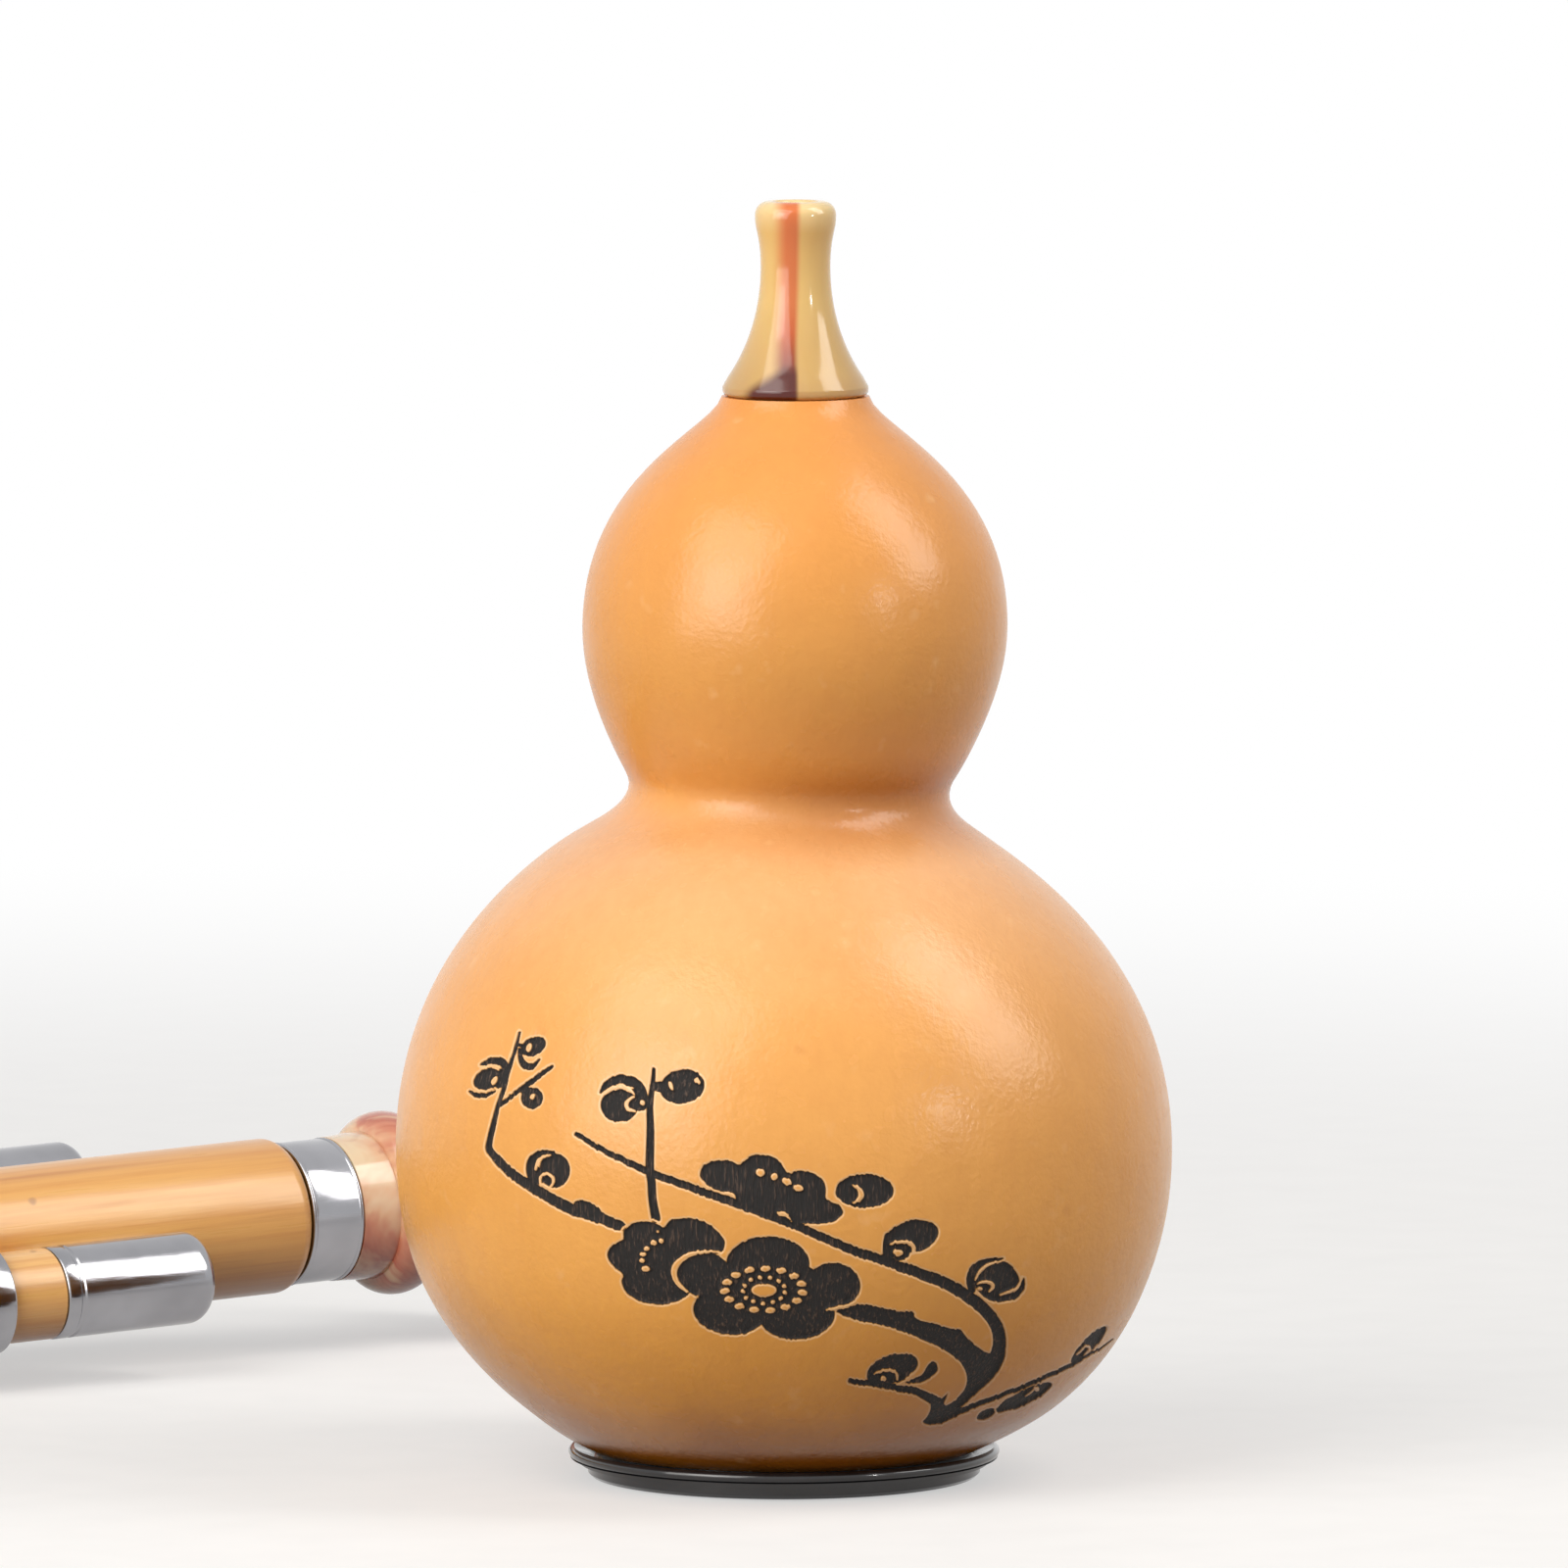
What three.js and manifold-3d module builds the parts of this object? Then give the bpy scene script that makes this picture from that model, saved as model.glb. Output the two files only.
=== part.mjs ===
// Hulusi, a gourd free-reed pipe, taken apart: the gourd stands on its base collar with the
// mouthpiece up, and the bound set of three pipes lies on the same floor behind it.
// Millimetres, +Z up. Front is -Y.
import * as THREE from "three";
import { mergeVertices } from "three/addons/utils/BufferGeometryUtils.js";
import Module from "manifold-3d";

const wasm = await Module();
wasm.setup();

// Clearances
const seatGap = 0.3;
const cutOverrun = 1.5;
const degree = Math.PI / 180;

// Gourd shell: each height of its outline is counted from the one below it
const bellyRadius = 47.4;
const bellyHeight = 40.25;
const underSink = 1.2;
const underFullnessShare = 2.16;
const creaseLowerRadius = 22.55;
const creaseLowerRise = 39.85;
const creaseLowerReach = 4.3;
const creaseLowerAngle = 34.1 * degree;
const bellyFullShare = 0.648;
const creaseUpperRadius = 20.05;
const creaseUpperRise = 5.7;
const creaseUpperReach = 9.75;
const creaseUpperAngle = 60.3 * degree;
const crownRadius = 25.9;
const crownRise = 18.25;
const crownDrop = 3.95;
const stemRadius = 9;
const stemRise = 28.1;
const stemReach = 4;
const stemAngle = 78.9 * degree;
const crownFullShare = 0.668;
const gourdWall = 3.2;
const stemBoreRadius = 7.6;
const stemWallHeight = 8.3;
const chamberStep = 4.8;
const upperLean = 1.4;
const upperLeanMargins = [3.7, 1.1];
const shoulderLean = 0.63;
const shoulderLeanDrop = 3.6;
const shoulderLeanFadeShare = 2;
const lowerLean = 0.68;
const lowerLeanHeights = [3.5, 9, 27.2];
const lowerLeanFade = 5;
const creaseTiltShare = 0.012;
const creaseTiltFadeShare = 5.3;

const underDepth = bellyHeight + underSink;
const bellyFullHeight = creaseLowerRise * bellyFullShare;
const creaseLowerHeight = bellyHeight + creaseLowerRise;
const creaseUpperHeight = creaseLowerHeight + creaseUpperRise;
const crownHeight = creaseUpperHeight + crownRise;
const stemHeight = crownHeight + stemRise;
const chamberTop = stemHeight - stemWallHeight;

// Base collar with three pipe sockets
const collarInsertRadius = 23;
const collarInsertTop = 10;
const collarFootRadius = 24;
const collarFootHeight = 1.5;
const collarStepRadius = 25;
const collarStepTop = 2.2;
const collarLipRadius = 26.35;
const collarLipTop = 3.5;
const collarEdge = 0.4;
const lipSeatDrop = 0.45;

// Mouthpiece
const mouthRise = 23.75;
const mouthCollarRadius = 8.9;
const mouthCollarEdge = 0.7;
const mouthNeckRadius = 4.25;
const mouthNeckDrop = 8;
const mouthLipRadius = 4.95;
const mouthLipDrop = 1.9;
const mouthLipEdge = 1.65;
const mouthLipShares = [0.6, 0.28];
const mouthBoreRadius = 2.4;
const mouthBoreEdge = 0.4;
const mouthFlareShares = [0.266, 0.214, 0.446];
const mouthSpigotRadius = 6.1;
const mouthSpigotLength = 9;
const mouthHeight = stemHeight + mouthRise;

// Cork sleeves
const corkEndMargin = 1;
const corkEdge = 0.3;

// Main pipe
const mainRadius = 10;
const mainBoreRadius = 5.9;
const bambooLength = 208;
const bambooShoulder = 2;
const bambooHeadEdge = 0.5;
const tenonRadius = 8.2;
const fingerHoleCount = 6;
const fingerHoleRadius = 3.3;
const fingerHoleFirst = 50;
const fingerHolePitch = 18.5;
const thumbHolePlace = 38;
const tailHoleRadius = 2.6;
const tailHolePlace = 166;
const tailHolePitch = 11;
const tailHoleCount = 2;

// Tail ferrule and bell
const ferruleLength = 7;
const ferruleWall = 0.8;
const ferruleEdge = 0.2;
const bellLength = 34.4;
const bellSocketDepth = 5;
const bellNeckFlare = 0.3;
const bellBeadRadius = 11.9;
const bellBeadStart = 5.2;
const bellBeadWidth = 6.8;
const bellWaistRadius = 9.9;
const bellRimRadius = 19;
const bellRimWidth = 1.5;
const bellFlareLength = 19;
const bellOutsideShare = 0.6;
const bellInsideShare = 0.7;

// Drone pipes
const droneRadius = 5.8;
const droneBoreRadius = 4.3;
const droneLength = 164.7;
const droneEdge = 0.4;
const droneHoleRadius = 2.1;
const droneHolePlace = 118;
const stopperLength = 22;
const stopperRadius = 5.9;
const stopperTipRadius = 2.4;
const stopperSpigotLength = 8;
const stopperSpigotEdge = 0.4;
const dronePlace = mainRadius + seatGap + droneRadius;

// Bands that bind the three pipes
const bandWall = 0.8;
const bandWidth = 5;
const upperBandPlace = 14;
const lowerBandMargin = 12.7;
const lowerBandPlace = droneLength - lowerBandMargin;

// Reed heads: tube, plate, tongue and plug
const reedInsert = 16;
const reedPlugHead = 1.6;
const reedPlugSpigot = 4;
const reedPlugEdge = 0.4;
const tongueThickness = 0.35;
const plateThickness = 0.5;
const plateCorner = 0.5;
const mainReed = {
  tubeRadius: 5.6,
  boreRadius: 3.6,
  tubeTop: 58,
  flatPlace: 4.4,
  plateWidth: 6,
  plateLength: 21,
  plateTop: 52,
  tongueRootWidth: 2.8,
  tongueTipWidth: 0.8,
  tongueLength: 15,
};
const droneReed = {
  tubeRadius: 4,
  boreRadius: 2.6,
  tubeTop: 47,
  flatPlace: 3.1,
  plateWidth: 4.4,
  plateLength: 16,
  plateTop: 42,
  tongueRootWidth: 1.9,
  tongueTipWidth: 0.6,
  tongueLength: 11,
};
const corkWall = 0.8;
const mainSocketRadius = mainReed.tubeRadius + seatGap + corkWall + seatGap;
const droneSocketRadius = droneReed.tubeRadius + seatGap + corkWall + seatGap;

// How the pipe set lies, from the gourd's axis
const pipeYaw = 32 * degree;
const ferruleAside = -61.9;
const ferruleBehind = 118.6;

// Facets
const gourdSides = 44;
const collarSides = 40;
const pipeSides = 26;
const droneSides = 20;
const holeSides = 14;
const bulbSteps = 10;
const creaseSteps = 3;
const flareSteps = 4;
const edgeSteps = 3;
const beadSteps = 6;
const bandSteps = 6;

const point = (radius, height) => new THREE.Vector2(radius, height);

function finish(color, roughness, metalness) {
  return new THREE.MeshStandardMaterial({ color, roughness, metalness });
}

const gourdSkin = finish(0xf0aa6c, 0.42, 0);
const blackGloss = finish(0x121113, 0.12, 0);
const agate = finish(0xe6c78f, 0.15, 0);
const agateRed = finish(0xcf8666, 0.18, 0);
const cork = finish(0xb98a5a, 0.9, 0);
const bamboo = finish(0xeba85c, 0.38, 0);
const silver = finish(0xd9dadb, 0.16, 1);
const reedResin = finish(0x2a2422, 0.35, 0);
const brassSheet = finish(0xc79a4a, 0.3, 1);

// Closed mesh to solid and back

function solidOf(geometry) {
  const bare = geometry.clone();
  bare.deleteAttribute("normal");
  bare.deleteAttribute("uv");
  const merged = mergeVertices(bare);
  const corners = Array.from(merged.index.array);
  const kept = [];
  for (let i = 0; i < corners.length; i += 3) {
    const [a, b, c] = corners.slice(i, i + 3);
    if (a !== b && b !== c && c !== a) kept.push(a, b, c);
  }
  return new wasm.Manifold(new wasm.Mesh({
    numProp: 3,
    vertProperties: new Float32Array(merged.attributes.position.array),
    triVerts: new Uint32Array(kept),
  }));
}

function geometryOf(solid) {
  const mesh = solid.getMesh();
  const geometry = new THREE.BufferGeometry();
  geometry.setAttribute("position", new THREE.BufferAttribute(mesh.vertProperties, 3));
  geometry.setIndex(new THREE.BufferAttribute(mesh.triVerts, 1));
  geometry.computeVertexNormals();
  return geometry;
}

// Outline of radius and height turned about the Z axis
function turned(outline, sides) {
  const closed = outline.slice();
  const last = outline[outline.length - 1];
  if (outline[0].x > 0 || last.x > 0) closed.push(outline[0].clone());
  const body = new THREE.LatheGeometry(closed, sides);
  body.rotateX(Math.PI / 2);
  return solidOf(body);
}

// Round cutter along Z, centred at the origin
function rod(radius, length, sides) {
  const cutter = new THREE.CylinderGeometry(radius, radius, length, sides);
  cutter.rotateX(Math.PI / 2);
  return solidOf(cutter);
}

// Cutter that reaches from the axis of a pipe out through its wall; side -1 is the front
function wallDrill(radius, reach, along, side) {
  const cutter = new THREE.CylinderGeometry(radius, radius, reach, holeSides);
  cutter.translate(0, side * reach / 2, along);
  return solidOf(cutter);
}

function curvePoints(start, startControl, endControl, end, steps) {
  return new THREE.CubicBezierCurve(start, startControl, endControl, end).getPoints(steps);
}

// Rounded corner of an outline, about its own centre
function cornerArc(radius, height, edge, from, to, steps) {
  const points = [];
  for (let i = 0; i <= steps; i += 1) {
    const turn = from + (to - from) * (i / steps);
    points.push(point(radius + edge * Math.cos(turn), height + edge * Math.sin(turn)));
  }
  return points;
}

function ringOutline(innerRadius, outerRadius, low, high, edge) {
  return [
    point(innerRadius, low),
    point(outerRadius - edge, low),
    point(outerRadius, low + edge),
    point(outerRadius, high - edge),
    point(outerRadius - edge, high),
    point(innerRadius, high),
  ];
}

function addPiece(parent, name, solid, material) {
  const mesh = new THREE.Mesh(geometryOf(solid), material);
  mesh.name = name;
  parent.add(mesh);
  return mesh;
}

// Gourd

// Height of the gourd's underside at a radius
function undersideHeight(radius) {
  const reach = Math.pow(radius / bellyRadius, underFullnessShare);
  return bellyHeight - underDepth * Math.pow(1 - reach, 1 / underFullnessShare);
}

function undersidePoints(steps) {
  const points = [];
  for (let i = 0; i <= steps; i += 1) {
    const turn = (Math.PI / 2) * (i / steps);
    const across = Math.pow(Math.sin(turn), 2 / underFullnessShare);
    const down = Math.pow(Math.cos(turn), 2 / underFullnessShare);
    points.push(point(bellyRadius * across, bellyHeight - underDepth * down));
  }
  return points;
}

function outerGourdOutline() {
  const belly = point(bellyRadius, bellyHeight);
  const creaseLower = point(creaseLowerRadius, creaseLowerHeight);
  const creaseUpper = point(creaseUpperRadius, creaseUpperHeight);
  const crown = point(crownRadius, crownHeight);
  const stem = point(stemRadius, stemHeight);
  const inward = point(-Math.cos(creaseLowerAngle), Math.sin(creaseLowerAngle));
  const outward = point(Math.cos(creaseUpperAngle), Math.sin(creaseUpperAngle));
  const shoulder = curvePoints(
    belly,
    belly.clone().add(point(0, bellyFullHeight)),
    creaseLower.clone().addScaledVector(inward, -creaseLowerReach),
    creaseLower,
    bulbSteps,
  );
  const across = creaseUpper.clone().sub(creaseLower);
  const meet = across.cross(outward) / inward.cross(outward);
  const corner = creaseLower.clone().addScaledVector(inward, meet);
  const bend = new THREE.QuadraticBezierCurve(creaseLower, corner, creaseUpper);
  const crease = bend.getPoints(creaseSteps);
  const upperSide = curvePoints(
    creaseUpper,
    creaseUpper.clone().addScaledVector(outward, creaseUpperReach),
    crown.clone().sub(point(0, crownDrop)),
    crown,
    bulbSteps / 2,
  );
  const intoStem = point(-Math.cos(stemAngle), Math.sin(stemAngle));
  const dome = curvePoints(
    crown,
    crown.clone().add(point(0, stemRise * crownFullShare)),
    stem.clone().addScaledVector(intoStem, -stemReach),
    stem,
    bulbSteps,
  );
  return [
    ...undersidePoints(bulbSteps),
    ...shoulder.slice(1),
    ...crease.slice(1),
    ...upperSide.slice(1),
    ...dome.slice(1),
  ];
}

// The outline moved inward by the wall, up to where the chamber closes under the stem
function chamberOutline(outer) {
  const inner = [];
  for (let i = 1; i < outer.length - 1; i += 1) {
    const along = outer[i + 1].clone().sub(outer[i - 1]).normalize();
    const moved = outer[i].clone().add(point(-along.y, along.x).multiplyScalar(gourdWall));
    const previous = inner[inner.length - 1];
    const rises = previous === undefined || moved.y > previous.y + chamberStep;
    if (rises && moved.y < chamberTop && moved.x > stemBoreRadius) inner.push(moved);
  }
  const first = inner[0];
  const last = inner[inner.length - 1];
  return [point(0, first.y), ...inner, point(0, last.y)];
}

// The natural gourd's lean: the upper bulb and the underside to the right, the shoulder to the
// left, and the crease a little higher on the left
function leanAt(radius, height) {
  const { smoothstep } = THREE.MathUtils;
  const [below, above] = upperLeanMargins;
  const [seat, full, end] = lowerLeanHeights;
  const hole = collarInsertRadius + seatGap;
  const upper = smoothstep(height, creaseLowerHeight - below, creaseUpperHeight + above);
  const swell = smoothstep(height, seat, full) * (1 - smoothstep(height, full, end));
  const lower = swell * smoothstep(radius, hole, hole + lowerLeanFade);
  const away = (height - creaseLowerHeight + shoulderLeanDrop) / bellyFullHeight;
  const shoulder = Math.exp(-away * away * shoulderLeanFadeShare);
  return upperLean * upper + lowerLean * lower - shoulderLean * shoulder;
}

function warpGourd(geometry) {
  const places = geometry.attributes.position;
  const creaseHeight = (creaseLowerHeight + creaseUpperHeight) / 2;
  for (let i = 0; i < places.count; i += 1) {
    const x = places.getX(i);
    const z = places.getZ(i);
    const away = (z - creaseHeight) / bellyFullHeight;
    const tilt = creaseTiltShare * Math.exp(-away * away * creaseTiltFadeShare);
    places.setX(i, x + leanAt(Math.hypot(x, places.getY(i)), z));
    places.setZ(i, z - x * tilt);
  }
  geometry.computeVertexNormals();
}

function makeGourdShell(parent) {
  const outer = outerGourdOutline();
  const bodyOutline = [...outer, point(0, stemHeight)];
  const boreHeight = collarInsertTop * 2;
  const stemCut = (stemHeight - chamberTop) * 2 + gourdWall * 2;
  const shell = turned(bodyOutline, gourdSides)
    .subtract(turned(chamberOutline(outer), gourdSides))
    .subtract(rod(collarInsertRadius + seatGap, boreHeight, gourdSides))
    .subtract(rod(stemBoreRadius, stemCut, droneSides).translate([0, 0, stemHeight]));
  const mesh = addPiece(parent, "gourd_shell", shell, gourdSkin);
  warpGourd(mesh.geometry);
}

function makeBaseCollar(parent) {
  const lipInner = collarInsertRadius + seatGap;
  const lipMiddle = collarLipRadius - collarEdge * 2;
  const outline = [
    point(0, 0),
    point(collarFootRadius - collarEdge, 0),
    point(collarFootRadius, collarEdge),
    point(collarFootRadius, collarFootHeight),
    point(collarStepRadius, collarFootHeight),
    point(collarStepRadius, collarStepTop),
    point(collarLipRadius - collarEdge / 2, collarStepTop),
    point(collarLipRadius, collarStepTop + collarEdge),
    point(collarLipRadius, collarLipTop - collarEdge),
    point(collarLipRadius - collarEdge, collarLipTop),
    point(lipMiddle, undersideHeight(lipMiddle) - lipSeatDrop),
    point(lipInner, undersideHeight(lipInner) - lipSeatDrop),
    point(collarInsertRadius, undersideHeight(collarInsertRadius) - lipSeatDrop),
    point(collarInsertRadius, collarInsertTop - collarEdge * 2),
    point(collarInsertRadius - collarEdge * 2, collarInsertTop),
    point(0, collarInsertTop),
  ];
  let collar = turned(outline, collarSides);
  const sockets = [
    [-dronePlace, droneSocketRadius],
    [0, mainSocketRadius],
    [dronePlace, droneSocketRadius],
  ];
  for (const [place, radius] of sockets) {
    const cut = rod(radius, collarInsertTop * 3, droneSides);
    collar = collar.subtract(cut.translate([place, 0, 0]));
  }
  addPiece(parent, "base_collar", collar, blackGloss);
}

function makeMouthpiece(parent) {
  const underside = stemHeight + seatGap;
  const spigotLow = stemHeight - mouthSpigotLength;
  const collarMiddle = mouthCollarRadius - mouthCollarEdge;
  const collarCorner = [collarMiddle, underside + mouthCollarEdge, mouthCollarEdge];
  const flareStart = point(mouthCollarRadius, underside + mouthCollarEdge * 2);
  const neck = point(mouthNeckRadius, mouthHeight - mouthNeckDrop);
  const lip = point(mouthLipRadius, mouthHeight - mouthLipDrop);
  const [inShare, upShare, neckShare] = mouthFlareShares;
  const [lipStartShare, lipEndShare] = mouthLipShares;
  const flareRise = neck.y - flareStart.y;
  const lipRise = lip.y - neck.y;
  const flare = curvePoints(
    flareStart,
    flareStart.clone().add(point(-mouthCollarRadius * inShare, flareRise * upShare)),
    neck.clone().sub(point(0, flareRise * neckShare)),
    neck,
    flareSteps * 2,
  );
  const lipCurve = curvePoints(
    neck,
    neck.clone().add(point(0, lipRise * lipStartShare)),
    lip.clone().sub(point(0, lipRise * lipEndShare)),
    lip,
    flareSteps,
  );
  const lipTop = mouthHeight - mouthLipEdge;
  const boreTop = mouthHeight - mouthBoreEdge;
  const outline = [
    point(mouthBoreRadius, spigotLow),
    point(mouthSpigotRadius - corkEdge, spigotLow),
    point(mouthSpigotRadius, spigotLow + corkEdge),
    point(mouthSpigotRadius, underside),
    ...cornerArc(...collarCorner, -Math.PI / 2, 0, edgeSteps),
    ...flare,
    ...lipCurve.slice(1),
    ...cornerArc(mouthLipRadius - mouthLipEdge, lipTop, mouthLipEdge, 0, Math.PI / 2, edgeSteps),
    point(mouthBoreRadius + mouthBoreEdge, mouthHeight),
    point(mouthBoreRadius, boreTop),
  ];
  addPiece(parent, "mouthpiece", turned(outline, pipeSides), agate);
  const corkLow = spigotLow + corkEndMargin;
  const corkHigh = stemHeight - corkEndMargin;
  const corkRing = ringOutline(
    mouthSpigotRadius + seatGap,
    stemBoreRadius - seatGap,
    corkLow,
    corkHigh,
    corkEdge,
  );
  addPiece(parent, "mouthpiece_cork", turned(corkRing, droneSides), cork);
}

// Pipes: heights run down from the collar's underside, so the tail is at negative Z

function makeMainPipe(parent) {
  const head = -seatGap;
  const tail = head - bambooLength;
  const tenonEnd = tail - seatGap - ferruleLength - seatGap - bellSocketDepth;
  const shoulder = cornerArc(
    mainRadius - bambooShoulder,
    tail + bambooShoulder,
    bambooShoulder,
    -Math.PI / 2,
    0,
    edgeSteps + 1,
  );
  const outline = [
    point(mainBoreRadius, tenonEnd),
    point(tenonRadius - bambooHeadEdge, tenonEnd),
    point(tenonRadius, tenonEnd + bambooHeadEdge),
    point(tenonRadius, tail),
    ...shoulder.filter((corner) => corner.x > tenonRadius),
    point(mainRadius, head - bambooHeadEdge),
    point(mainRadius - bambooHeadEdge, head),
    point(mainBoreRadius, head),
  ];
  const reach = mainRadius + cutOverrun;
  let pipe = turned(outline, pipeSides);
  for (let i = 0; i < fingerHoleCount; i += 1) {
    const along = head - fingerHoleFirst - i * fingerHolePitch;
    pipe = pipe.subtract(wallDrill(fingerHoleRadius, reach, along, -1));
  }
  pipe = pipe.subtract(wallDrill(fingerHoleRadius, reach, head - thumbHolePlace, 1));
  for (let i = 0; i < tailHoleCount; i += 1) {
    const along = head - tailHolePlace - i * tailHolePitch;
    pipe = pipe.subtract(wallDrill(tailHoleRadius, reach, along, 1));
  }
  addPiece(parent, "main_pipe", pipe, bamboo);
}

function makeTailFerrule(parent) {
  const high = -seatGap - bambooLength - seatGap;
  const inner = tenonRadius + seatGap;
  const ring = ringOutline(inner, inner + ferruleWall, high - ferruleLength, high, ferruleEdge);
  addPiece(parent, "tail_ferrule", turned(ring, pipeSides), silver);
}

// Outline of the tail bell, measured down from its top edge
function makeTailBell(parent) {
  const top = -seatGap - bambooLength - seatGap - ferruleLength - seatGap;
  const neckInner = tenonRadius + seatGap;
  const neckOuter = neckInner + ferruleWall;
  const beadFoot = neckOuter + bellNeckFlare;
  const beadHeight = bellBeadRadius - beadFoot;
  const bead = [];
  for (let i = 0; i <= beadSteps; i += 1) {
    const turn = Math.PI * (i / beadSteps);
    const along = bellBeadStart + (bellBeadWidth / 2) * (1 - Math.cos(turn));
    bead.push(point(beadFoot + beadHeight * Math.sin(turn), -along));
  }
  const beadEnd = bellBeadStart + bellBeadWidth;
  const rimEnd = bellLength;
  const waist = point(bellWaistRadius, -(bellLength - bellFlareLength));
  const rim = point(bellRimRadius, -(rimEnd - bellRimWidth));
  const outside = curvePoints(
    waist,
    waist.clone().sub(point(0, bellFlareLength * bellOutsideShare)),
    rim.clone().add(point(-bellRimWidth * 2, bellRimWidth * 2)),
    rim,
    beadSteps,
  );
  const mouth = point(bellRimRadius - bellRimWidth, -rimEnd);
  const throat = point(mainBoreRadius, -(beadEnd - bellBeadWidth / 3));
  const inside = curvePoints(
    mouth,
    mouth.clone().add(point(-bellRimWidth * 2, bellRimWidth * 2)),
    throat.clone().sub(point(0, bellFlareLength * bellInsideShare)),
    throat,
    beadSteps,
  );
  const below = [
    point(neckInner, 0),
    point(neckInner, -bellSocketDepth - seatGap),
    point(mainBoreRadius, -bellSocketDepth - seatGap),
    ...inside.slice().reverse(),
    point(bellRimRadius - bellRimWidth / 3, -rimEnd),
    ...outside.slice().reverse(),
    ...bead.slice().reverse(),
    point(neckOuter, 0),
  ];
  const outline = below.map((corner) => point(corner.x, corner.y + top));
  addPiece(parent, "tail_bell", turned(outline, pipeSides), agateRed);
}

function makeDrone(parent, side, place) {
  const head = -seatGap;
  const tail = head - droneLength;
  const tube = [
    point(droneBoreRadius, tail),
    point(droneRadius, tail),
    point(droneRadius, head - droneEdge),
    point(droneRadius - droneEdge, head),
    point(droneBoreRadius, head),
  ];
  const hole = wallDrill(droneHoleRadius, droneRadius + cutOverrun, head - droneHolePlace, -1);
  const pipe = turned(tube, droneSides).subtract(hole);
  addPiece(parent, `${side}_drone_pipe`, pipe.translate([place, 0, 0]), bamboo);

  const stopperTop = tail - seatGap;
  const stopperEnd = stopperTop - stopperLength;
  const spigotRadius = droneBoreRadius - seatGap;
  const spigotHigh = stopperTop + stopperSpigotLength;
  const tipMiddle = stopperRadius - stopperTipRadius;
  const tipHeight = stopperEnd + stopperTipRadius;
  const stopper = [
    point(0, stopperEnd),
    ...cornerArc(tipMiddle, tipHeight, stopperTipRadius, -Math.PI / 2, 0, edgeSteps + 2),
    point(stopperRadius, stopperTop),
    point(spigotRadius, stopperTop),
    point(spigotRadius, spigotHigh - stopperSpigotEdge),
    point(spigotRadius - stopperSpigotEdge, spigotHigh),
    point(0, spigotHigh),
  ];
  const cap = turned(stopper, droneSides).translate([place, 0, 0]);
  addPiece(parent, `${side}_drone_stopper`, cap, silver);
}

// Outline that hugs the three pipes, at a distance from them
function bundleOutline(path, distance) {
  const main = mainRadius + distance;
  const drone = droneRadius + distance;
  const lean = Math.acos((main - drone) / dronePlace);
  const full = Math.PI;
  path.absarc(dronePlace, 0, drone, -lean, lean, false);
  path.absarc(0, 0, main, lean, full - lean, false);
  path.absarc(-dronePlace, 0, drone, full - lean, full + lean, false);
  path.absarc(0, 0, main, full + lean, full * 2 - lean, false);
  path.closePath();
  return path;
}

function makeBand(parent, name, place) {
  const shape = bundleOutline(new THREE.Shape(), seatGap + bandWall);
  shape.holes.push(bundleOutline(new THREE.Path(), seatGap));
  const band = new THREE.ExtrudeGeometry(shape, {
    depth: bandWidth,
    bevelEnabled: false,
    curveSegments: bandSteps,
  });
  band.translate(0, 0, -place - bandWidth);
  addPiece(parent, name, solidOf(band), silver);
}

// Tapered outline of a reed tongue, with its root at height 0 and its tip down
function tonguePath(path, reed, grow) {
  const root = reed.tongueRootWidth / 2 + grow;
  const tip = reed.tongueTipWidth / 2 + grow;
  path.moveTo(-root, grow);
  path.lineTo(-tip, -reed.tongueLength - grow);
  path.lineTo(tip, -reed.tongueLength - grow);
  path.lineTo(root, grow);
  path.closePath();
  return path;
}

function platePath(path, width, length, corner) {
  const half = width / 2;
  path.moveTo(-half + corner, 0);
  path.lineTo(-half, -corner);
  path.lineTo(-half, -length + corner);
  path.lineTo(-half + corner, -length);
  path.lineTo(half - corner, -length);
  path.lineTo(half, -length + corner);
  path.lineTo(half, -corner);
  path.lineTo(half - corner, 0);
  path.closePath();
  return path;
}

// Sheet lying on the flat of a reed tube: outline in X and height, thickness towards -Y
function sheetSolid(shape, thickness, innerFace, top) {
  const sheet = new THREE.ExtrudeGeometry(shape, {
    depth: thickness,
    bevelEnabled: false,
    curveSegments: 1,
  });
  sheet.rotateX(Math.PI / 2);
  sheet.translate(0, -innerFace, top);
  return solidOf(sheet);
}

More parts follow.
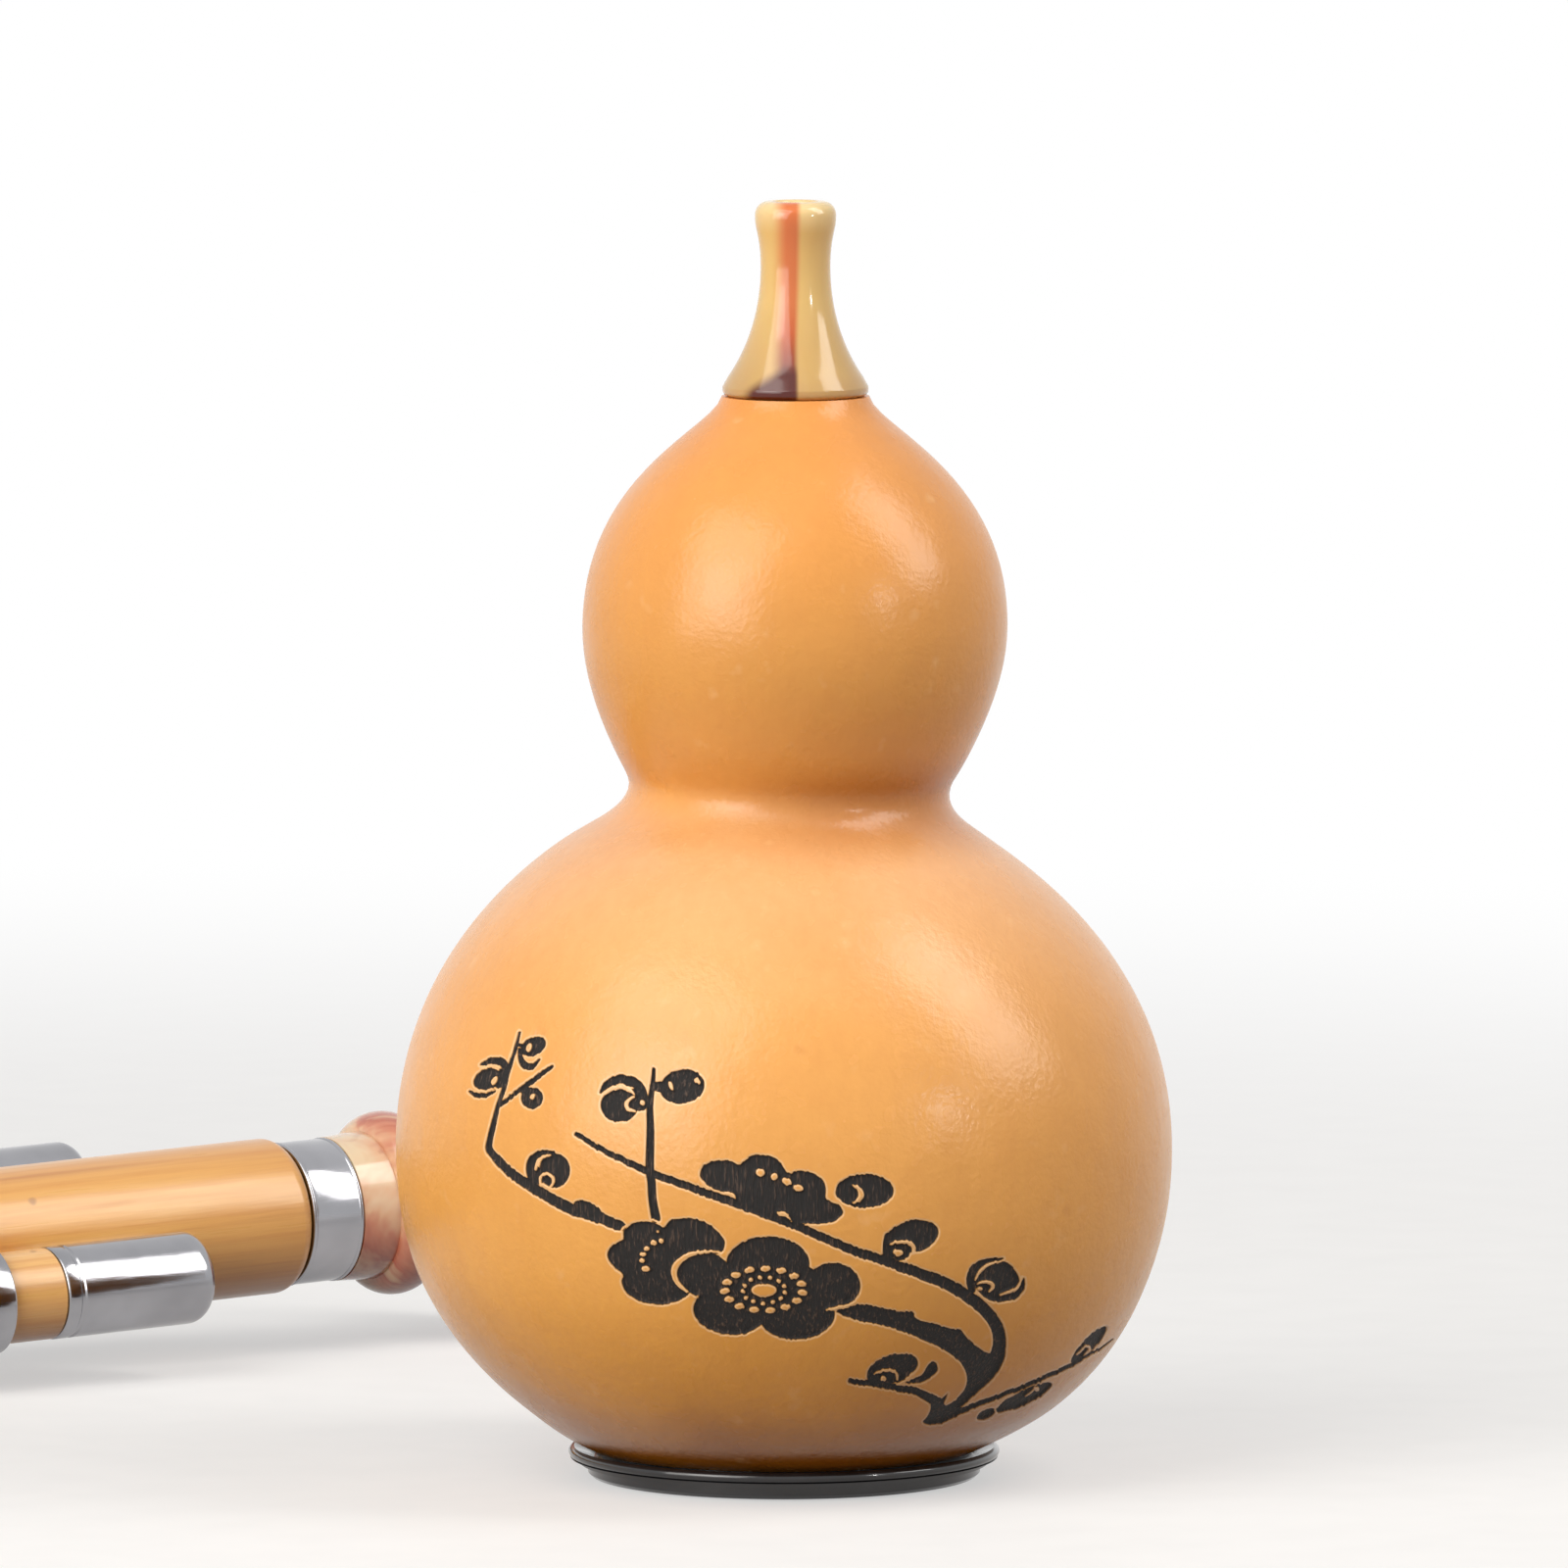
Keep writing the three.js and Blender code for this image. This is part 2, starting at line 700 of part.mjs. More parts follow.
function makeReedHead(parent, side, place, reed) {
  const low = -seatGap - reedInsert;
  const tubeOutline = ringOutline(reed.boreRadius, reed.tubeRadius, low, reed.tubeTop, corkEdge);
  const flatLow = reed.plateTop - reed.plateLength;
  const flatHeight = reed.plateLength + seatGap * 2;
  const flatCut = new THREE.BoxGeometry(
    reed.tubeRadius * 2 + cutOverrun,
    reed.tubeRadius,
    flatHeight,
  );
  const flatMiddle = flatLow + reed.plateLength / 2;
  flatCut.translate(0, -reed.flatPlace - reed.tubeRadius / 2, flatMiddle);
  const plateInner = reed.flatPlace + seatGap;
  const rootHeight = reed.plateTop - (reed.plateLength - reed.tongueLength) / 2;
  const windowShape = tonguePath(new THREE.Shape(), reed, seatGap * 2);
  const window = sheetSolid(windowShape, reed.tubeRadius, 0, rootHeight);
  const tube = turned(tubeOutline, droneSides).subtract(solidOf(flatCut)).subtract(window);
  addPiece(parent, `${side}_reed_tube`, tube.translate([place, 0, 0]), reedResin);

  const plateShape = platePath(new THREE.Shape(), reed.plateWidth, reed.plateLength, plateCorner);
  const plate = sheetSolid(plateShape, plateThickness, plateInner, reed.plateTop);
  const slotShape = tonguePath(new THREE.Shape(), reed, seatGap);
  const slot = sheetSolid(slotShape, reed.tubeRadius, 0, rootHeight);
  const slotted = plate.subtract(slot).translate([place, 0, 0]);
  addPiece(parent, `${side}_reed_plate`, slotted, brassSheet);

  const tongueInner = plateInner + (plateThickness - tongueThickness) / 2;
  const tongueShape = tonguePath(new THREE.Shape(), reed, 0);
  const tongue = sheetSolid(tongueShape, tongueThickness, tongueInner, rootHeight);
  addPiece(parent, `${side}_reed_tongue`, tongue.translate([place, 0, 0]), brassSheet);

  const plugRadius = reed.boreRadius - seatGap;
  const plugSeat = reed.tubeTop + seatGap;
  const plug = [
    point(0, reed.tubeTop - reedPlugSpigot),
    point(plugRadius, reed.tubeTop - reedPlugSpigot),
    point(plugRadius, plugSeat),
    point(reed.tubeRadius, plugSeat),
    point(reed.tubeRadius, plugSeat + reedPlugHead - reedPlugEdge),
    point(reed.tubeRadius - reedPlugEdge, plugSeat + reedPlugHead),
    point(0, plugSeat + reedPlugHead),
  ];
  const plugSolid = turned(plug, droneSides).translate([place, 0, 0]);
  addPiece(parent, `${side}_reed_plug`, plugSolid, reedResin);

  const sleeve = ringOutline(
    reed.tubeRadius + seatGap,
    reed.tubeRadius + seatGap + corkWall,
    corkEndMargin,
    collarInsertTop - corkEndMargin,
    corkEdge,
  );
  const sleeveSolid = turned(sleeve, droneSides).translate([place, 0, 0]);
  addPiece(parent, `${side}_socket_cork`, sleeveSolid, cork);
}

// The set rests on its upper band and its bell's rim, rolled onto the left drone
function layPipeSet(group) {
  const bandRadius = mainRadius + seatGap + bandWall;
  const rimPlace = seatGap * 3 + bambooLength + ferruleLength + bellLength - bellRimWidth;
  const pitch = Math.atan2(bellRimRadius - bandRadius, rimPlace - upperBandPlace);
  const roll = Math.asin((mainRadius - droneRadius) / dronePlace);
  const tailward = new THREE.Vector3(
    Math.cos(pipeYaw) * Math.cos(pitch),
    Math.sin(pipeYaw) * Math.cos(pitch),
    Math.sin(pitch),
  );
  const level = new THREE.Vector3(-Math.sin(pipeYaw), Math.cos(pipeYaw), 0);
  const upward = new THREE.Vector3().crossVectors(tailward, level);
  const right = level.clone().multiplyScalar(Math.cos(roll)).addScaledVector(upward, Math.sin(roll));
  const head = tailward.clone().negate();
  const back = new THREE.Vector3().crossVectors(head, right);
  const turn = new THREE.Matrix4().makeBasis(right, back, head);
  group.quaternion.setFromRotationMatrix(turn);
  const ferrulePlace = seatGap * 2 + bambooLength + ferruleLength / 2;
  const headHeight = bandRadius * Math.cos(pitch) - upperBandPlace * Math.sin(pitch);
  group.position.set(
    ferruleAside - ferrulePlace * tailward.x,
    ferruleBehind - ferrulePlace * tailward.y,
    headHeight,
  );
}

function makeGourdUnit() {
  const unit = new THREE.Group();
  makeGourdShell(unit);
  makeBaseCollar(unit);
  const mouth = new THREE.Group();
  mouth.position.x = leanAt(stemRadius, stemHeight);
  makeMouthpiece(mouth);
  unit.add(mouth);
  return unit;
}

function makePipeSet() {
  const set = new THREE.Group();
  makeMainPipe(set);
  makeTailFerrule(set);
  makeTailBell(set);
  makeDrone(set, "left", -dronePlace);
  makeDrone(set, "right", dronePlace);
  makeBand(set, "upper_band", upperBandPlace);
  makeBand(set, "lower_band", lowerBandPlace);
  makeReedHead(set, "main", 0, mainReed);
  makeReedHead(set, "left", -dronePlace, droneReed);
  makeReedHead(set, "right", dronePlace, droneReed);
  layPipeSet(set);
  return set;
}

// The origin is under the middle of the whole laid-out set, on the floor
function centreOnFloor(layout) {
  layout.updateMatrixWorld(true);
  const box = new THREE.Box3().setFromObject(layout, true);
  const middle = box.getCenter(new THREE.Vector3());
  layout.position.set(-middle.x, -middle.y, -box.min.z);
}

const layout = new THREE.Group();
layout.add(makeGourdUnit(), makePipeSet());
centreOnFloor(layout);

const hulusi = new THREE.Group();
hulusi.name = "hulusi";
hulusi.add(layout);
hulusi.updateMatrixWorld(true);

export default hulusi;
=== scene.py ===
import math

import bmesh
import bpy
import numpy as np
from mathutils import Matrix, Vector


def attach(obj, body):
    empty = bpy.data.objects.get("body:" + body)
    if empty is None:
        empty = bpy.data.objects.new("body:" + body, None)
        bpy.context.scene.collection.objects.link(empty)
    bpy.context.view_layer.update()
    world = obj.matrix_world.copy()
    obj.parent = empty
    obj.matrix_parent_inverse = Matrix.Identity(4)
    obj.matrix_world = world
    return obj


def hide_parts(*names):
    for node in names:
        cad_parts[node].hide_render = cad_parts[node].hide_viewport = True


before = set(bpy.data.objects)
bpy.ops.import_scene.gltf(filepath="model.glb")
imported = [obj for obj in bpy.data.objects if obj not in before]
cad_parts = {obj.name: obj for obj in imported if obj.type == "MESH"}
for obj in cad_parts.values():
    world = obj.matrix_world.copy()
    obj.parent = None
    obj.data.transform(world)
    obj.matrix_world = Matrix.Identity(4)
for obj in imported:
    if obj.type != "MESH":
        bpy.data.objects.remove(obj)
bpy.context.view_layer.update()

mm = 0.001

# Where things stand: the gourd's axis, and the lie of the pipe set on the floor
gourdAxis = Vector((0.123898, -0.053538, 0.0))
pipeLie = dict(
    origin=(-0.117772, -0.047271, 0.010623),
    tailward=(0.847568, 0.52962, 0.033627),
    right=(-0.51901, 0.814035, 0.260722),
)

# The camera stands 2.2 m in front of the gourd
cameraSet = dict(spot=(0.12390, -2.25355, 0.300), pitchDown=5.589, lens=416.3, sensor=36.0)
pictureSide = 1600


def deselectAll():
    if bpy.context.object and bpy.context.object.mode != "OBJECT":
        bpy.ops.object.mode_set(mode="OBJECT")
    bpy.ops.object.select_all(action="DESELECT")


def pick(piece):
    deselectAll()
    piece.select_set(True)
    bpy.context.view_layer.objects.active = piece


def applyPlace(piece):
    pick(piece)
    bpy.ops.object.transform_apply(location=True, rotation=True, scale=True)


def applyModifiers(piece):
    pick(piece)
    for modifier in list(piece.modifiers):
        bpy.ops.object.modifier_apply(modifier=modifier.name)


def drawEdge(name, points, closed=False):
    # one vertex, pulled out point by point into an edge; points in mm
    deselectAll()
    bpy.ops.mesh.primitive_plane_add(size=0.01)
    piece = bpy.context.object
    piece.name = piece.data.name = name
    bpy.ops.object.mode_set(mode="EDIT")
    bpy.ops.mesh.select_mode(type="VERT")
    bpy.ops.mesh.select_all(action="SELECT")
    bpy.ops.mesh.merge(type="CENTER")
    spots = [Vector(p) * mm for p in points]
    bpy.ops.transform.translate(value=spots[0])
    for before, after in zip(spots, spots[1:]):
        bpy.ops.mesh.extrude_vertices_move(TRANSFORM_OT_translate={"value": after - before})
    if closed:
        shape = bmesh.from_edit_mesh(piece.data)
        shape.verts.ensure_lookup_table()
        shape.verts[0].select_set(True)
        shape.verts[-1].select_set(True)
        bmesh.update_edit_mesh(piece.data)
        bpy.ops.mesh.edge_face_add()
    bpy.ops.mesh.select_all(action="SELECT")
    return piece


def shadeSmooth(piece, angle=30):
    pick(piece)
    bpy.ops.object.shade_smooth_by_angle(angle=math.radians(angle))
    return piece


def closeShape(piece, smoothAngle=32):
    # merge what met, turn faces outwards, smooth shading with sharp corners kept
    bpy.ops.mesh.select_all(action="SELECT")
    bpy.ops.mesh.remove_doubles(threshold=1e-6)
    bpy.ops.mesh.normals_make_consistent(inside=False)
    bpy.ops.object.mode_set(mode="OBJECT")
    return shadeSmooth(piece, smoothAngle)


def turnPiece(name, outline, sides, ring=True):
    # outline of (radius, height) in mm, spun about Z; ring where it closes on itself
    piece = drawEdge(name, [(r, 0, z) for r, z in outline], closed=ring)
    bpy.ops.mesh.spin(steps=sides, angle=math.tau, center=(0, 0, 0), axis=(0, 0, 1))
    return closeShape(piece)


def roundEdges(piece, width, steps, angle=34):
    pick(piece)
    bevel = piece.modifiers.new("roundEdges", "BEVEL")
    bevel.width = width * mm
    bevel.segments = steps
    bevel.limit_method = "ANGLE"
    bevel.angle_limit = math.radians(angle)
    applyModifiers(piece)
    return shadeSmooth(piece)


def joinPieces(pieces):
    deselectAll()
    for piece in pieces:
        piece.select_set(True)
    bpy.context.view_layer.objects.active = pieces[0]
    if len(pieces) > 1:
        bpy.ops.object.join()
    return pieces[0]


def cutAway(piece, cutters):
    cutter = joinPieces(cutters)
    pick(piece)
    cut = piece.modifiers.new("cut", "BOOLEAN")
    cut.operation = "DIFFERENCE"
    cut.solver = "EXACT"
    cut.object = cutter
    applyModifiers(piece)
    bpy.data.objects.remove(cutter)
    return shadeSmooth(piece)


def readVertices(piece, what="co"):
    values = np.empty(len(piece.data.vertices) * 3)
    piece.data.vertices.foreach_get(what, values)
    return values.reshape(-1, 3)


def copyPiece(piece, name):
    twin = piece.copy()
    twin.data = piece.data.copy()
    twin.name = twin.data.name = name
    bpy.context.collection.objects.link(twin)
    return twin


def curve(start, startPull, endPull, end, steps):
    # points of a cubic curve in (radius, height)
    made = []
    for i in range(steps + 1):
        t = i / steps
        a, b, c, d = (1 - t) ** 3, 3 * (1 - t) ** 2 * t, 3 * (1 - t) * t * t, t ** 3
        made.append(tuple(a * p + b * q + c * r + d * s
                          for p, q, r, s in zip(start, startPull, endPull, end)))
    return made


def corner(radius, height, edge, start, end, steps):
    # rounded corner about its own centre, angles in degrees
    made = []
    for i in range(steps + 1):
        turn = math.radians(start + (end - start) * i / steps)
        made.append((radius + edge * math.cos(turn), height + edge * math.sin(turn)))
    return made


def lieMatrix():
    right, head = Vector(pipeLie["right"]), -Vector(pipeLie["tailward"])
    back = head.cross(right)
    turn = Matrix((right, back, head)).transposed().to_4x4()
    return Matrix.Translation(Vector(pipeLie["origin"])) @ turn


def layDown(piece, aside=0.0):
    # from the pipe set's own frame, tail down and front -Y, to how it lies on the floor
    piece.matrix_world = lieMatrix() @ Matrix.Translation((aside * mm, 0, 0))
    applyPlace(piece)
    return piece


def dress(piece, material, body, node):
    piece.data.materials.clear()
    piece.data.materials.append(material)
    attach(piece, body)
    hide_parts(node)
    return piece


def makeCamera():
    deselectAll()
    turn = (math.radians(90 - cameraSet["pitchDown"]), 0, 0)
    bpy.ops.object.camera_add(location=cameraSet["spot"], rotation=turn)
    eye = bpy.context.object
    eye.data.lens = cameraSet["lens"]
    eye.data.sensor_width = cameraSet["sensor"]
    eye.data.clip_start, eye.data.clip_end = 0.05, 60
    bpy.context.scene.camera = eye


def pictureSpots(points):
    # where points in metres come in the picture, in its pixels
    tilt = math.radians(cameraSet["pitchDown"])
    away = points - np.array(cameraSet["spot"])
    deep = away[:, 1] * math.cos(tilt) - away[:, 2] * math.sin(tilt)
    up = away[:, 1] * math.sin(tilt) + away[:, 2] * math.cos(tilt)
    focal = cameraSet["lens"] / cameraSet["sensor"] * pictureSide
    return (pictureSide / 2 + focal * away[:, 0] / deep, pictureSide / 2 - focal * up / deep)


makeCamera()
print("camera placed")


def tone(red, green, blue):
    # a colour as it looks, 0 to 255, for a shader socket
    made = []
    for value in (red, green, blue):
        share = value / 255
        made.append(share / 12.92 if share <= 0.04045 else ((share + 0.055) / 1.055) ** 2.4)
    return (*made, 1.0)


def newMaterial(name):
    material = bpy.data.materials.new(name)
    material.use_nodes = True
    tree = material.node_tree
    return material, tree, tree.nodes["Principled BSDF"]


def add(tree, kind, inputs=None, **settings):
    made = tree.nodes.new(kind)
    for key, value in settings.items():
        setattr(made, key, value)
    for key, value in (inputs or {}).items():
        socket = made.inputs[key]
        if isinstance(value, bpy.types.NodeSocket):
            tree.links.new(value, socket)
        else:
            socket.default_value = value
    return made


def objectPlace(tree, centre=(0, 0, 0), turn=(0, 0, 0), scale=(1, 1, 1)):
    # Object coordinates, moved to a centre, turned and stretched
    spot = add(tree, "ShaderNodeTexCoord").outputs["Object"]
    moved = add(tree, "ShaderNodeMapping", {"Vector": spot, "Location": tuple(-Vector(centre))})
    return add(tree, "ShaderNodeMapping",
               {"Vector": moved.outputs[0], "Rotation": turn, "Scale": scale}).outputs[0]


def pipePlace(tree, scale=(1, 1, 1)):
    # coordinates along and across the pipe set as it lies
    turn = lieMatrix().to_3x3().inverted().to_euler()
    return objectPlace(tree, centre=pipeLie["origin"], turn=tuple(turn), scale=scale)


def noise(tree, place, scale, detail=3.0, roughness=0.5, distortion=0.0):
    return add(tree, "ShaderNodeTexNoise", {
        "Vector": place, "Scale": scale, "Detail": detail,
        "Roughness": roughness, "Distortion": distortion}).outputs["Fac"]


def spread(tree, value, low, high, toLow=0.0, toHigh=1.0, smooth=False):
    return add(tree, "ShaderNodeMapRange", {
        "Value": value, "From Min": low, "From Max": high, "To Min": toLow, "To Max": toHigh},
        interpolation_type="SMOOTHSTEP" if smooth else "LINEAR").outputs["Result"]


def mixColour(tree, factor, first, second, how="MIX"):
    return add(tree, "ShaderNodeMix", {0: factor, 6: first, 7: second},
               data_type="RGBA", blend_type=how).outputs[2]


def ramp(tree, value, stops):
    made = add(tree, "ShaderNodeValToRGB", {"Fac": value})
    band = made.color_ramp
    while len(band.elements) < len(stops):
        band.elements.new(0.5)
    for element, (place, colour) in zip(band.elements, stops):
        element.position = place
        element.color = colour
    return made.outputs["Color"]


def reckon(tree, how, first, second):
    return add(tree, "ShaderNodeMath", {0: first, 1: second}, operation=how).outputs[0]


def bump(tree, height, strength, distance, under=None):
    inputs = {"Height": height, "Strength": strength, "Distance": distance}
    if under is not None:
        inputs["Normal"] = under
    return add(tree, "ShaderNodeBump", inputs).outputs["Normal"]


def link(tree, output, shader, socket):
    tree.links.new(output, shader.inputs[socket])


def setSockets(shader, values):
    for socket, value in values.items():
        shader.inputs[socket].default_value = value


def seenDirectly(tree):
    # 1 for the rays that show the pale background: camera, glossy and transmission
    path = add(tree, "ShaderNodeLightPath").outputs
    seen = reckon(tree, "MAXIMUM", path["Is Camera Ray"], path["Is Glossy Ray"])
    return reckon(tree, "MAXIMUM", seen, path["Is Transmission Ray"])


stageSet = dict(
    floorColour=(240, 238, 235), floorGrain=(245, 243, 240), grainScale=90.0,
    floorBounce=(92, 66, 42),  # the floor's colour for all other rays
    middle=(0.03, 0, 0), nearGlow=0.5, fadeFrom=0.20, fadeTo=0.70,
    floorSize=30, floorMiddle=(0, 6, -0.0002), worldLight=0.09, aimHeight=0.075,
)
lampSet = [
    # name, azimuth from the front, height angle, distance, size, strength, colour
    ("leftSoftbox", -44, 29, 1.0, (0.85, 1.15), 10.6, (1.0, 0.97, 0.93)),
    ("leftCore", -43, 22, 0.98, (0.36, 0.46), 1.7, (1.0, 0.97, 0.94)),
    ("rightSoftbox", 80, 42, 1.1, (0.45, 0.95), 7.2, (1.0, 0.97, 0.94)),
    ("rightSmall", 50, 14, 1.3, (0.05, 0.07), 1.3, (1.0, 0.98, 0.96)),
    ("topFill", -10, 66, 1.3, (0.9, 0.9), 0.8, (1.0, 0.98, 0.95)),
]


def makeFloor():
    deselectAll()
    bpy.ops.mesh.primitive_plane_add(size=stageSet["floorSize"], location=stageSet["floorMiddle"])
    floor = bpy.context.object
    floor.name = "paleFloor"
    applyPlace(floor)
    material, tree, shader = newMaterial("paleFloor")
    place = objectPlace(tree, centre=stageSet["middle"])
    distance = add(tree, "ShaderNodeVectorMath", {0: place}, operation="LENGTH").outputs["Value"]
    far = spread(tree, distance, stageSet["fadeFrom"], stageSet["fadeTo"], stageSet["nearGlow"],
                 1.0, smooth=True)
    seen = seenDirectly(tree)
    grain = noise(tree, place, stageSet["grainScale"], 2.0)
    pale = mixColour(tree, spread(tree, grain, 0.3, 0.7), tone(*stageSet["floorColour"]),
                     tone(*stageSet["floorGrain"]))
    colour = mixColour(tree, seen, tone(*stageSet["floorBounce"]), pale)
    link(tree, colour, shader, "Base Color")
    setSockets(shader, {"Roughness": 0.6, "Specular IOR Level": 0.15})
    white = add(tree, "ShaderNodeEmission", {"Color": (1, 1, 1, 1), "Strength": 1.0})
    share = reckon(tree, "MULTIPLY", far, seen)
    mixed = add(tree, "ShaderNodeMixShader", {0: share, 1: shader.outputs[0], 2: white.outputs[0]})
    output = next(n for n in tree.nodes if n.type == "OUTPUT_MATERIAL")
    tree.links.new(mixed.outputs[0], output.inputs["Surface"])
    floor.data.materials.append(material)


def makeLamps():
    for name, azimuth, height, distance, size, strength, colour in lampSet:
        side, up = math.radians(azimuth), math.radians(height)
        aim = gourdAxis + Vector((0, 0, stageSet["aimHeight"]))
        back = Vector((math.sin(side) * math.cos(up), -math.cos(side) * math.cos(up), math.sin(up)))
        deselectAll()
        bpy.ops.object.light_add(type="AREA", location=aim + back * distance)
        lamp = bpy.context.object
        lamp.name = name
        lamp.rotation_mode = "QUATERNION"
        lamp.rotation_quaternion = back.to_track_quat("Z", "Y")
        lamp.data.shape = "RECTANGLE"
        lamp.data.size, lamp.data.size_y = size
        lamp.data.energy = strength
        lamp.data.color = colour


def makeWorld():
    world = bpy.data.worlds.new("studio")
    bpy.context.scene.world = world
    world.use_nodes = True
    tree = world.node_tree
    strength = spread(tree, seenDirectly(tree), 0, 1, stageSet["worldLight"], 1.0)
    ground = tree.nodes["Background"]
    ground.inputs["Color"].default_value = (1, 1, 1, 1)
    tree.links.new(strength, ground.inputs["Strength"])
    bpy.context.scene.view_settings.view_transform = "Standard"


makeFloor()
makeLamps()
makeWorld()
print("floor and lamps placed")


# sizes in mm, angles in degrees
gourdSet = dict(
    bellyRadius=47.4, bellyHeight=40.25, underSink=1.2, underFull=2.16,
    creaseLow=(22.55, 80.1), creaseLowPull=4.3, creaseLowAngle=34.1, bellyFull=25.823,
    creaseHigh=(20.05, 85.8), creaseHighPull=9.75, creaseHighAngle=60.3,
    crown=(25.9, 104.05), crownDrop=3.95, crownFull=18.771,
    stem=(9.0, 132.15), stemPull=4.0, stemAngle=78.9,
    wall=3.2, stemBore=7.6, chamberTop=123.85, footBore=23.3,
    upperLean=1.4, upperLeanFrom=(76.4, 86.9), shoulderLean=0.63, shoulderPlace=76.5,
    lowerLean=0.68, lowerLeanAt=(3.5, 9.0, 27.2), lowerLeanFade=5.0,
    creaseTilt=0.012, creaseTiltFade=5.3,
    frontStart=-148.0, frontEnd=-27.0, frontSteps=168, backSteps=84,
    carvedTop=57.0, rowStep=0.6, plainStep=1.5, creaseStep=0.8, creaseReach=6, stemEdge=0.4,
    chamberStep=3.0, chamberRise=1.0, normalReach=6, smooth=60,
)


def gourdSkinOutline():
    g = gourdSet
    under = []
    depth = g["bellyHeight"] + g["underSink"]
    steps = 160
    for i in range(steps + 1):
        turn = math.pi / 2 * i / steps
        across = math.sin(turn) ** (2 / g["underFull"])
        down = math.cos(turn) ** (2 / g["underFull"])
        under.append((g["bellyRadius"] * across, g["bellyHeight"] - depth * down))
    under = [p for p in under if p[0] > g["footBore"]]
    low, high = math.radians(g["creaseLowAngle"]), math.radians(g["creaseHighAngle"])
    inward, outward = (-math.cos(low), math.sin(low)), (math.cos(high), math.sin(high))
    a, b = g["creaseLow"], g["creaseHigh"]
    belly = (g["bellyRadius"], g["bellyHeight"])
    shoulderPull = (a[0] - inward[0] * g["creaseLowPull"], a[1] - inward[1] * g["creaseLowPull"])
    shoulder = curve(belly, (belly[0], belly[1] + g["bellyFull"]), shoulderPull, a, 120)
    across = (b[0] - a[0], b[1] - a[1])
    meet = ((across[0] * outward[1] - across[1] * outward[0])
            / (inward[0] * outward[1] - inward[1] * outward[0]))
    knee = (a[0] + inward[0] * meet, a[1] + inward[1] * meet)
    crease = [tuple((1 - t) ** 2 * p + 2 * t * (1 - t) * q + t * t * r for p, q, r in zip(a, knee, b))
              for t in (i / 24 for i in range(25))]
    crown, stem = g["crown"], g["stem"]
    sidePull = (b[0] + outward[0] * g["creaseHighPull"], b[1] + outward[1] * g["creaseHighPull"])
    side = curve(b, sidePull, (crown[0], crown[1] - g["crownDrop"]), crown, 60)
    lean = math.radians(g["stemAngle"])
    stemPull = (stem[0] + math.cos(lean) * g["stemPull"], stem[1] - math.sin(lean) * g["stemPull"])
    dome = curve(crown, (crown[0], crown[1] + g["crownFull"]), stemPull, stem, 120)
    return under + shoulder[1:] + crease[1:] + side[1:] + dome[1:]


def creaseMiddle():
    return (gourdSet["creaseLow"][1] + gourdSet["creaseHigh"][1]) / 2


def evenRows(outline):
    # points along the outline, close together where the branch is carved
    g = gourdSet
    places = np.array(outline)
    lengths = np.concatenate([[0], np.cumsum(np.hypot(*np.diff(places, axis=0).T))])
    made, at = [], 0.0
    while at < lengths[-1]:
        spot = (np.interp(at, lengths, places[:, 0]), np.interp(at, lengths, places[:, 1]))
        made.append(spot)
        near = abs(spot[1] - creaseMiddle()) < g["creaseReach"]
        plain = g["creaseStep"] if near else g["plainStep"]
        at += g["rowStep"] if spot[1] < g["carvedTop"] else plain
    made.append(tuple(places[-1]))
    return made


def chamberRows(outline):
    # the hollow's outline, one wall inside the skin, from few points
    g, reach = gourdSet, gourdSet["normalReach"]
    made = []
    for before, here, after in zip(outline, outline[reach:], outline[reach * 2:]):
        along = Vector((after[0] - before[0], after[1] - before[1])).normalized()
        spot = (here[0] - along[1] * g["wall"], here[1] + along[0] * g["wall"])
        inside = spot[1] < g["chamberTop"] and spot[0] > g["stemBore"]
        if inside and (not made or (spot[1] > made[-1][1] + g["chamberRise"]
                                    and math.dist(spot, made[-1]) > g["chamberStep"])):
            made.append(spot)
    return made


def ease(values, start, end):
    share = np.clip((values - start) / (end - start), 0, 1)
    return share * share * (3 - 2 * share)


def leanGourd(places):
    # the upper bulb and the underside lean to the right, the shoulder to the left
    g = gourdSet
    x, z = places[:, 0] / mm, places[:, 2] / mm
    radius = np.hypot(x, places[:, 1] / mm)
    seat, full, end = g["lowerLeanAt"]
    lower = ease(z, seat, full) * (1 - ease(z, full, end))
    lower = lower * ease(radius, g["footBore"], g["footBore"] + g["lowerLeanFade"])
    away = (z - g["shoulderPlace"]) / g["bellyFull"]
    lean = (g["upperLean"] * ease(z, *g["upperLeanFrom"]) + g["lowerLean"] * lower
            - g["shoulderLean"] * np.exp(-2 * away * away))
    away = (z - creaseMiddle()) / g["bellyFull"]
    places[:, 0] = (x + lean) * mm
    places[:, 2] = (z - x * g["creaseTilt"] * np.exp(-g["creaseTiltFade"] * away * away)) * mm


